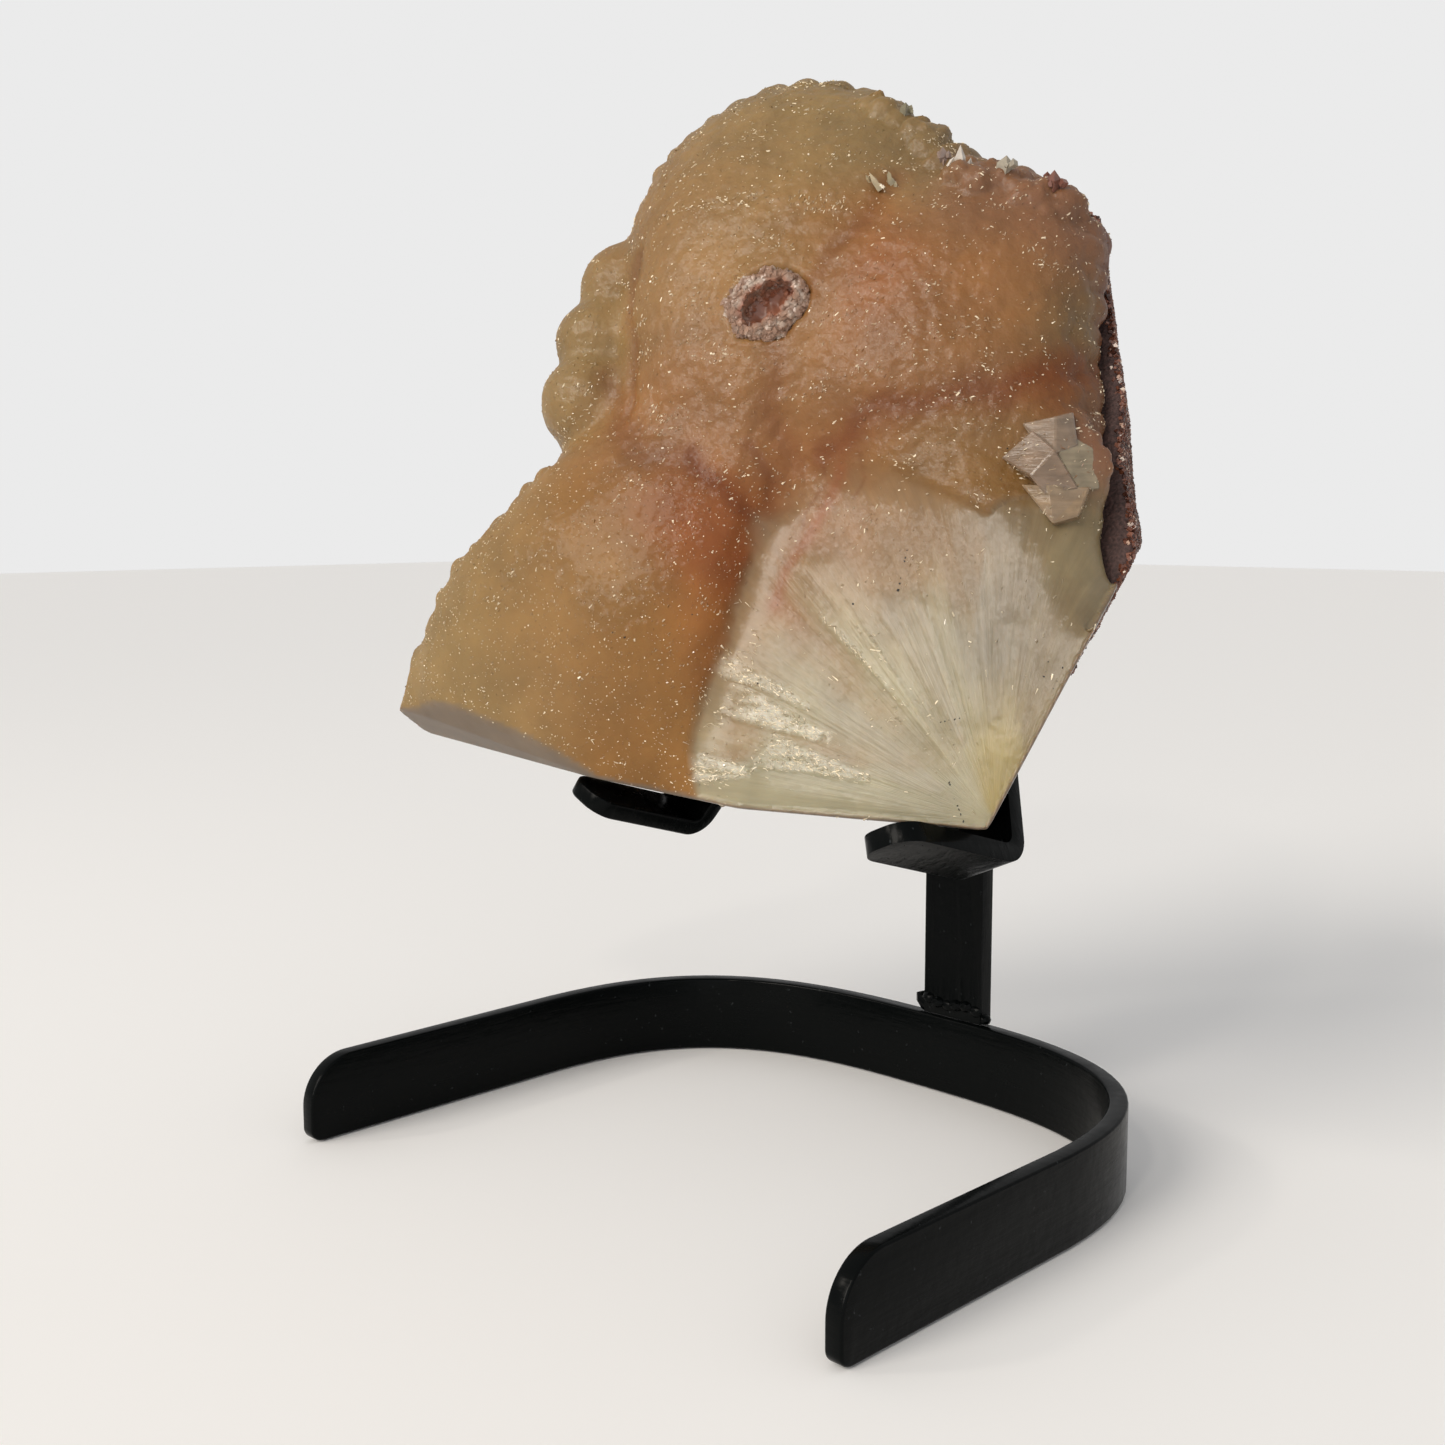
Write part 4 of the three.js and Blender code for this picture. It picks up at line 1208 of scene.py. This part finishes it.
def makePocket():
    mesh = crustMesh()
    places = placesOf(mesh)
    tones, inside = pocketTones(places)
    addColors(mesh, "Tone", tones)
    newPiece("pocketCrust", mesh, milkyCrystal, ["pocket_crust"])
    facing = smoothStep(facingOut(normalsOf(mesh)), 0.0, 0.4)
    ring = smoothStep(inside, 0.8, 1.15) * smoothStep(pocketInside(places), 1.25, 1.05)
    spots, outs, dice = sampled(mesh, facing * ring, pocket["crystals"], pocket["seed"])
    wide = dice.uniform(*pocket["wide"], len(spots))
    sizes = np.stack([wide, wide, dice.uniform(*pocket["high"], len(spots))], axis=1) * millimetre
    axes = axesAlong(outs, dice, pocket["lean"])
    spots = spots - outs * pocket["sunk"] * millimetre
    crystals, corners = joinedCopies(pointedTemplate(5, 0.6), spots, axes, sizes, "pocketCrystals")
    tones = pocketTones(placesOf(crystals))[0]
    tones[:, :3] *= np.repeat(dice.uniform(0.88, 1.12, len(spots)), corners)[:, None]
    addColors(crystals, "Tone", np.clip(tones, 0, 1))
    newPiece("pocketCrystals", crystals, milkyCrystal)


makePocket()
print("pocket")

# Blocky crystals: cleaved and striated, milky. Refractive index about 1.49.
# Each block's face: corners across, out and up, in a ring, which two of them its ridge joins, and its tone
blocks = {
    "striated": {
        "corners": [
            (47.9, 23.0, 77.9), (54.6, 25.0, 83.1), (60.3, 27.2, 78.2),
            (64.6, 22.5, 71.3), (58.7, 25.0, 69.2), (55.3, 26.4, 73.0),
        ],
        "fold": (2, 5), "tone": "#836d59",
    },
    "upper": {
        "corners": [
            (51.3, 22.0, 85.5), (59.1, 24.4, 86.2), (61.7, 20.5, 88.3),
            (63.7, 22.0, 80.6), (60.1, 25.6, 77.6), (55.2, 24.6, 81.1),
        ],
        "fold": (1, 4), "tone": "#8a7663",
    },
    "right": {
        "corners": [
            (61.3, 22.5, 83.0), (66.4, 19.5, 80.6), (68.0, 18.5, 72.4),
            (64.5, 22.0, 71.2), (60.5, 25.5, 77.6),
        ],
        "fold": None, "tone": "#94866e",
    },
    "lower": {
        "corners": [
            (52.9, 24.0, 71.9), (59.0, 25.0, 71.3), (66.6, 21.0, 72.0),
            (65.3, 23.0, 65.4), (60.4, 24.6, 63.4),
        ],
        "fold": None, "tone": "#8e775c",
    },
}
blockFinish = {
    "striation": 0.9,
    "along": 9,  # how far each striation runs
    "cloud": 3,
    "edge": 0.3,  # how wide its edges are broken
    "deep": 9,  # how far each block reaches back
}
blockGlints = {
    "count": 320,
    "long": (0.4, 1.8),
    "wide": (0.15, 0.3),
    "high": (0.08, 0.18),
    "lean": 0.3,
    "seed": 22,
}


def makeBlockMaterial():
    material, tree, shader = startMaterial("striatedMilkyCrystal", {
        "IOR": 1.49, "Roughness": 0.24, "Transmission Weight": 0.15,
        "Coat Weight": 0.3, "Coat Roughness": 0.1,
        "Subsurface Weight": 0.3, "Subsurface Radius": (0.003, 0.0022, 0.002), "Subsurface Scale": 1.0,
    })
    place = addNode(tree, "TexCoord").outputs["Object"]
    own = addNode(tree, "Attribute", attribute_name="Tone").outputs["Color"]
    along, across = perMetre(blockFinish["along"]), perMetre(blockFinish["striation"])
    lines = addNode(tree, "Mapping", {"Rotation": (0.25, 0.15, 0.9), "Scale": (along, along, across)},
                    {"Vector": place})
    striae = addNode(tree, "TexNoise", {"Scale": 1.0, "Detail": 3.0}, {"Vector": lines.outputs[0]})
    cloud = addNode(tree, "TexNoise", {"Scale": perMetre(blockFinish["cloud"]), "Detail": 4.0},
                    {"Vector": place})
    cloudy = addNode(tree, "MapRange", {**noiseSpan, "To Min": 0.85, "To Max": 1.18},
                     {"Value": cloud.outputs["Fac"]})
    vary = addNode(tree, "MapRange", {**noiseSpan, "To Min": 0.85, "To Max": 1.12},
                   {"Value": striae.outputs["Fac"]})
    both = addNode(tree, "Math", None, {0: cloudy.outputs[0], 1: vary.outputs[0]}, operation="MULTIPLY")
    shade = addNode(tree, "VectorMath", None, {0: own, "Scale": both.outputs[0]}, operation="SCALE")
    tree.links.new(shade.outputs[0], shader.inputs["Base Color"])
    height = addNode(tree, "Math", None, {0: striae.outputs["Fac"], 1: cloud.outputs["Fac"]},
                     operation="ADD")
    bump = addNode(tree, "Bump", {"Distance": 0.0004, "Strength": 0.6}, {"Height": height.outputs[0]})
    tree.links.new(bump.outputs[0], shader.inputs["Normal"])
    return material


def blockShape(block):  # its face, folded along its ridge and drawn back into the stone
    shape = bmesh.new()
    ring = [shape.verts.new(corner) for corner in fromCluster(block["corners"])]
    face = shape.faces.new(ring)
    made = bmesh.ops.extrude_face_region(shape, geom=[face])
    deep = [item for item in made["geom"] if isinstance(item, bmesh.types.BMVert)]
    back = directionFromCluster([[-0.15, -1, 0]])[0] * blockFinish["deep"] * millimetre
    bmesh.ops.translate(shape, vec=Vector(back), verts=deep)
    if block["fold"]:
        first, second = (ring[place] for place in block["fold"])
        bmesh.ops.connect_verts(shape, verts=[first, second])
    bmesh.ops.recalc_face_normals(shape, faces=shape.faces)
    edges = [edge for edge in shape.edges if edge.calc_face_angle(0) > math.radians(12)]
    bevelEdges(shape, edges, blockFinish["edge"] * millimetre)
    return shape


def makeBlocks():
    whole, tones = bmesh.new(), []
    for block in blocks.values():
        part = meshFrom(blockShape(block), "block", smooth=False)
        whole.from_mesh(part)
        tones += [hexColor(block["tone"])] * len(part.vertices)
        bpy.data.meshes.remove(part)
    mesh = meshFrom(whole, "blockyCrystals", smooth=False)
    addColors(mesh, "Tone", tones)
    newPiece("blockyCrystals", mesh, makeBlockMaterial(), ["blocky_crystals"])
    shown = smoothStep(placesOf(mesh)[:, 1], 15, 18)
    makeGlints("blockGlints", blockGlints, shown, ground=mesh)


makeBlocks()
print("blocky crystals")

# The rind of tiny crystals between the host rock and the stilbite
rind = {
    "count": 9000,
    "wide": (0.4, 1.1),
    "high": (0.4, 1.2),
    "lean": 0.6,
    "seed": 81,
    # the last two are pinkish white grains, and the palest is painted brighter still as a glint
    "tones": ("#40231a", "#643b2c", "#643a28", "#865b4c", "#b99a88", "#dcc9b8"),
    "shares": (0.3, 0.26, 0.22, 0.14, 0.06, 0.02),
}


def makeRind():
    places = placesOf(rockMesh)
    side = np.abs(facingOut(normalsOf(rockMesh)))
    near = smoothStep(places[:, 1], -20, -13) * smoothStep(side, 0.6, 0.4) * smoothStep(places[:, 2], 34, 48)
    spots, normals, dice = sampled(rockMesh, near, rind["count"], rind["seed"])
    wide = dice.uniform(*rind["wide"], len(spots))
    narrow = wide * dice.uniform(0.6, 1, len(spots))
    sizes = np.stack([wide, narrow, dice.uniform(*rind["high"], len(spots))], axis=1) * millimetre
    axes = axesAlong(normals, dice, rind["lean"])
    mesh, corners = joinedCopies(cubeTemplate(), spots, axes, sizes, "rindCrystals")
    palette = np.array([hexColor(text) for text in rind["tones"]])
    chosen = dice.choice(len(palette), len(spots), p=rind["shares"])
    addColors(mesh, "Tone", np.repeat(palette[chosen], corners, axis=0))
    newPiece("rindCrystals", mesh, facets)


makeRind()
print("rind")

# Specks of dark mineral on the broken face: start and end across and up, and how many
speckLines = {
    "leftOfPlates": ((29, 58), (28, 49), 7),
    "middle": ((41, 21), (46, 22), 6),
    "besideStart": ((44, 9), (48, 1), 8),
    "rightUpper": ((63, 34), (62, 30), 5),
    "rightInner": ((66, 33), (64, 27), 5),
}
specks = {"wide": (0.3, 0.75), "lean": 0.2, "sunk": 0.25, "bevel": 0.25, "tone": "#1d1712", "seed": 91}
# and single ones, a few of them on the skin
looseSpecks = ((18, 46), (-3, 28), (20, 33), (-18, 42), (-33, 36), (49, 80), (4, 20), (-36, 37), (32, 106))


def makeSpecks():
    tree = BVHTree.FromPolygons(
        [Vector(place) for place in placesOf(massMesh)],
        [list(face.vertices) for face in massMesh.polygons],
    )
    dice = np.random.default_rng(specks["seed"])
    flats = [np.array(spot, float) for spot in looseSpecks]
    for start, end, count in speckLines.values():
        shares = np.linspace(0, 1, count) + dice.normal(0, 0.04, count)
        flats += [np.array(start) + share * (np.array(end) - np.array(start)) for share in shares]
    hits = [tree.ray_cast(Vector((flat[0], 90, flat[1])), Vector((0, -1, 0))) for flat in flats]
    spots = fromCluster(np.array([list(hit[0]) for hit in hits if hit[0]]))
    normals = directionFromCluster(np.array([list(hit[1]) for hit in hits if hit[0]]))
    template = cubeTemplate()
    bevelEdges(template, template.edges[:], specks["bevel"], clamp=False)
    template.verts.index_update()
    sizes = dice.uniform(*specks["wide"], (len(spots), 3)) * millimetre
    axes = axesAlong(normals, dice, specks["lean"])
    spots = spots + normals * specks["sunk"] * millimetre
    mesh = joinedCopies(template, spots, axes, sizes, "darkSpecks")[0]
    material = startMaterial("darkOxide", {"Base Color": hexColor(specks["tone"]), "Roughness": 0.6})[0]
    newPiece("darkSpecks", mesh, material)


makeSpecks()

# Stand: flat steel bar, bent, welded and brushed with black gloss paint, which rounds its edges a little
standPaint = {
    "tone": "#050707",
    "gloss": 0.07,
    "orangePeel": 3.5,
    "relief": 0.5,
    "dust": "#2a2d2e",
    "dustSize": 1.6,
    "stroke": (14, 1.4),  # how long and how wide a mark of the brush is
}
standEdges = {
    "width": 0.6,  # of their rounding
    "segments": 3,
    "over": 38,  # rounded only where two sides turn by more than this
    "sharp": 35,  # and shaded as an edge from this turn on
}


def makePaint(name, strokeSize):
    material, tree, shader = startMaterial(name, {"IOR": 1.5, "Specular IOR Level": standPaint["gloss"]})
    place = addNode(tree, "TexCoord").outputs["Object"]
    peel = addNode(tree, "TexNoise", {"Scale": perMetre(standPaint["orangePeel"]), "Detail": 2.0},
                   {"Vector": place})
    brushed = addNode(tree, "Mapping", {"Scale": tuple(perMetre(size) for size in strokeSize)},
                      {"Vector": place})
    strokes = addNode(tree, "TexNoise", {"Scale": 1.0, "Detail": 3.0}, {"Vector": brushed.outputs[0]})
    height = addNode(tree, "Math", None, {0: peel.outputs["Fac"], 1: strokes.outputs["Fac"]},
                     operation="ADD")
    bump = addNode(tree, "Bump", {"Distance": standPaint["relief"] * millimetre, "Strength": 0.18},
                   {"Height": height.outputs[0]})
    tree.links.new(bump.outputs[0], shader.inputs["Normal"])
    fleck = addNode(tree, "TexNoise", {"Scale": perMetre(standPaint["dustSize"]), "Detail": 3.0},
                    {"Vector": place})
    dust = addNode(tree, "MapRange", {"From Min": 0.7, "From Max": 0.76}, {"Value": fleck.outputs["Fac"]})
    tone = addNode(tree, "Mix", {6: hexColor(standPaint["tone"]), 7: hexColor(standPaint["dust"])},
                   {0: dust.outputs[0]}, data_type="RGBA")
    tree.links.new(tone.outputs[2], shader.inputs["Base Color"])
    rough = addNode(tree, "MapRange", {"To Min": 0.14, "To Max": 0.34}, {"Value": strokes.outputs["Fac"]})
    tree.links.new(rough.outputs[0], shader.inputs["Roughness"])
    return material


strokeLong, strokeWide = standPaint["stroke"]
levelStrokes = makePaint("blackGlossPaint", (strokeLong, strokeLong, strokeWide))
uprightStrokes = makePaint("blackGlossPaintUpright", (strokeWide, strokeWide, strokeLong))
standPieces = {
    "baseHoop": ("base_hoop", levelStrokes),
    "rightArmHook": ("right_arm_hook", uprightStrokes),
    "leftArmHook": ("left_arm_hook", uprightStrokes),
    "postBar": ("post", uprightStrokes),
}


def eased(shape):  # flat areas made one face each, and the edges between them rounded
    bmesh.ops.dissolve_limit(shape, angle_limit=math.radians(1), verts=shape.verts, edges=shape.edges)
    limit = math.radians(standEdges["over"])
    bent = [edge for edge in shape.edges if len(edge.link_faces) == 2 and edge.calc_face_angle(0) > limit]
    bevelEdges(shape, bent, standEdges["width"] * millimetre, standEdges["segments"])
    return shape


def makeStandPiece(name, node, paint):
    mesh = meshFrom(eased(mergedCopy(node)), name)
    mesh.set_sharp_from_angle(angle=math.radians(standEdges["sharp"]))
    newPiece(name, mesh, paint, [node])


for pieceName, (nodeName, paint) in standPieces.items():
    makeStandPiece(pieceName, nodeName, paint)
print("stand")

# Floor and light
floorPlane = {"size": 8, "gap": 0.0004, "tone": "#f8f7f6"}


def makeFloor():
    shape = bmesh.new()
    bmesh.ops.create_grid(shape, x_segments=1, y_segments=1, size=floorPlane["size"] / 2)
    mesh = meshFrom(shape, "floor")
    floor = placed("floor", mesh)
    tone = hexColor(floorPlane["tone"])
    mesh.materials.append(startMaterial("paleFloor", {"Roughness": 0.7, "Base Color": tone})[0])
    floor.location.z = -floorPlane["gap"]
    floor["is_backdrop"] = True


lamps = {  # which way each lies, its size and its power
    "key": {"kind": "SUN", "at": (-0.1, -0.8, 0.6), "size": 30, "power": 1.85, "tone": "#fff8ee"},
    "front": {"kind": "SUN", "at": (0.75, -0.6, 0.3), "size": 50, "power": 0.35, "tone": "#f8faff"},
    "spark": {"kind": "AREA", "at": (0.35, -0.85, 0.75), "size": 0.08, "power": 1.2, "tone": "#fff6ea"},
    "sparkLeft": {"kind": "AREA", "at": (-0.55, -0.75, 0.6), "size": 0.08, "power": 1.0, "tone": "#fff6ea"},
}
lampTarget = Vector((0, 0, 0.14))
surround = {"tone": "#ffffff", "strength": 0.52, "seen": 0.83}  # as the part and as the camera sees it


def makeLight():
    for name, lamp in lamps.items():
        light = bpy.data.lights.new(name, lamp["kind"])
        if lamp["kind"] == "SUN":
            light.angle = math.radians(lamp["size"])
        else:
            light.size = lamp["size"]
        light.energy = lamp["power"]
        light.color = hexColor(lamp["tone"])[:3]
        holder = placed(name, light)
        holder.location = lamp["at"]
        aim = lampTarget - Vector(lamp["at"])
        holder.rotation_euler = aim.to_track_quat("-Z", "Y").to_euler()
    world = bpy.data.worlds.new("studio")
    world.use_nodes = True
    tree = world.node_tree
    path = addNode(tree, "LightPath")
    strength = addNode(tree, "MapRange", {"To Min": surround["strength"], "To Max": surround["seen"]},
                       {"Value": path.outputs["Is Camera Ray"]})
    background = tree.nodes["Background"]
    background.inputs["Color"].default_value = hexColor(surround["tone"])
    tree.links.new(strength.outputs[0], background.inputs["Strength"])
    bpy.context.scene.world = world
    bpy.context.scene.view_settings.view_transform = "Standard"


makeFloor()
makeLight()
print("floor and light")

plain = {name: [[float(v) for v in corner] for corner in bounds]
         for name, bounds in (("cad", cadBounds), ("visual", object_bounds()))}
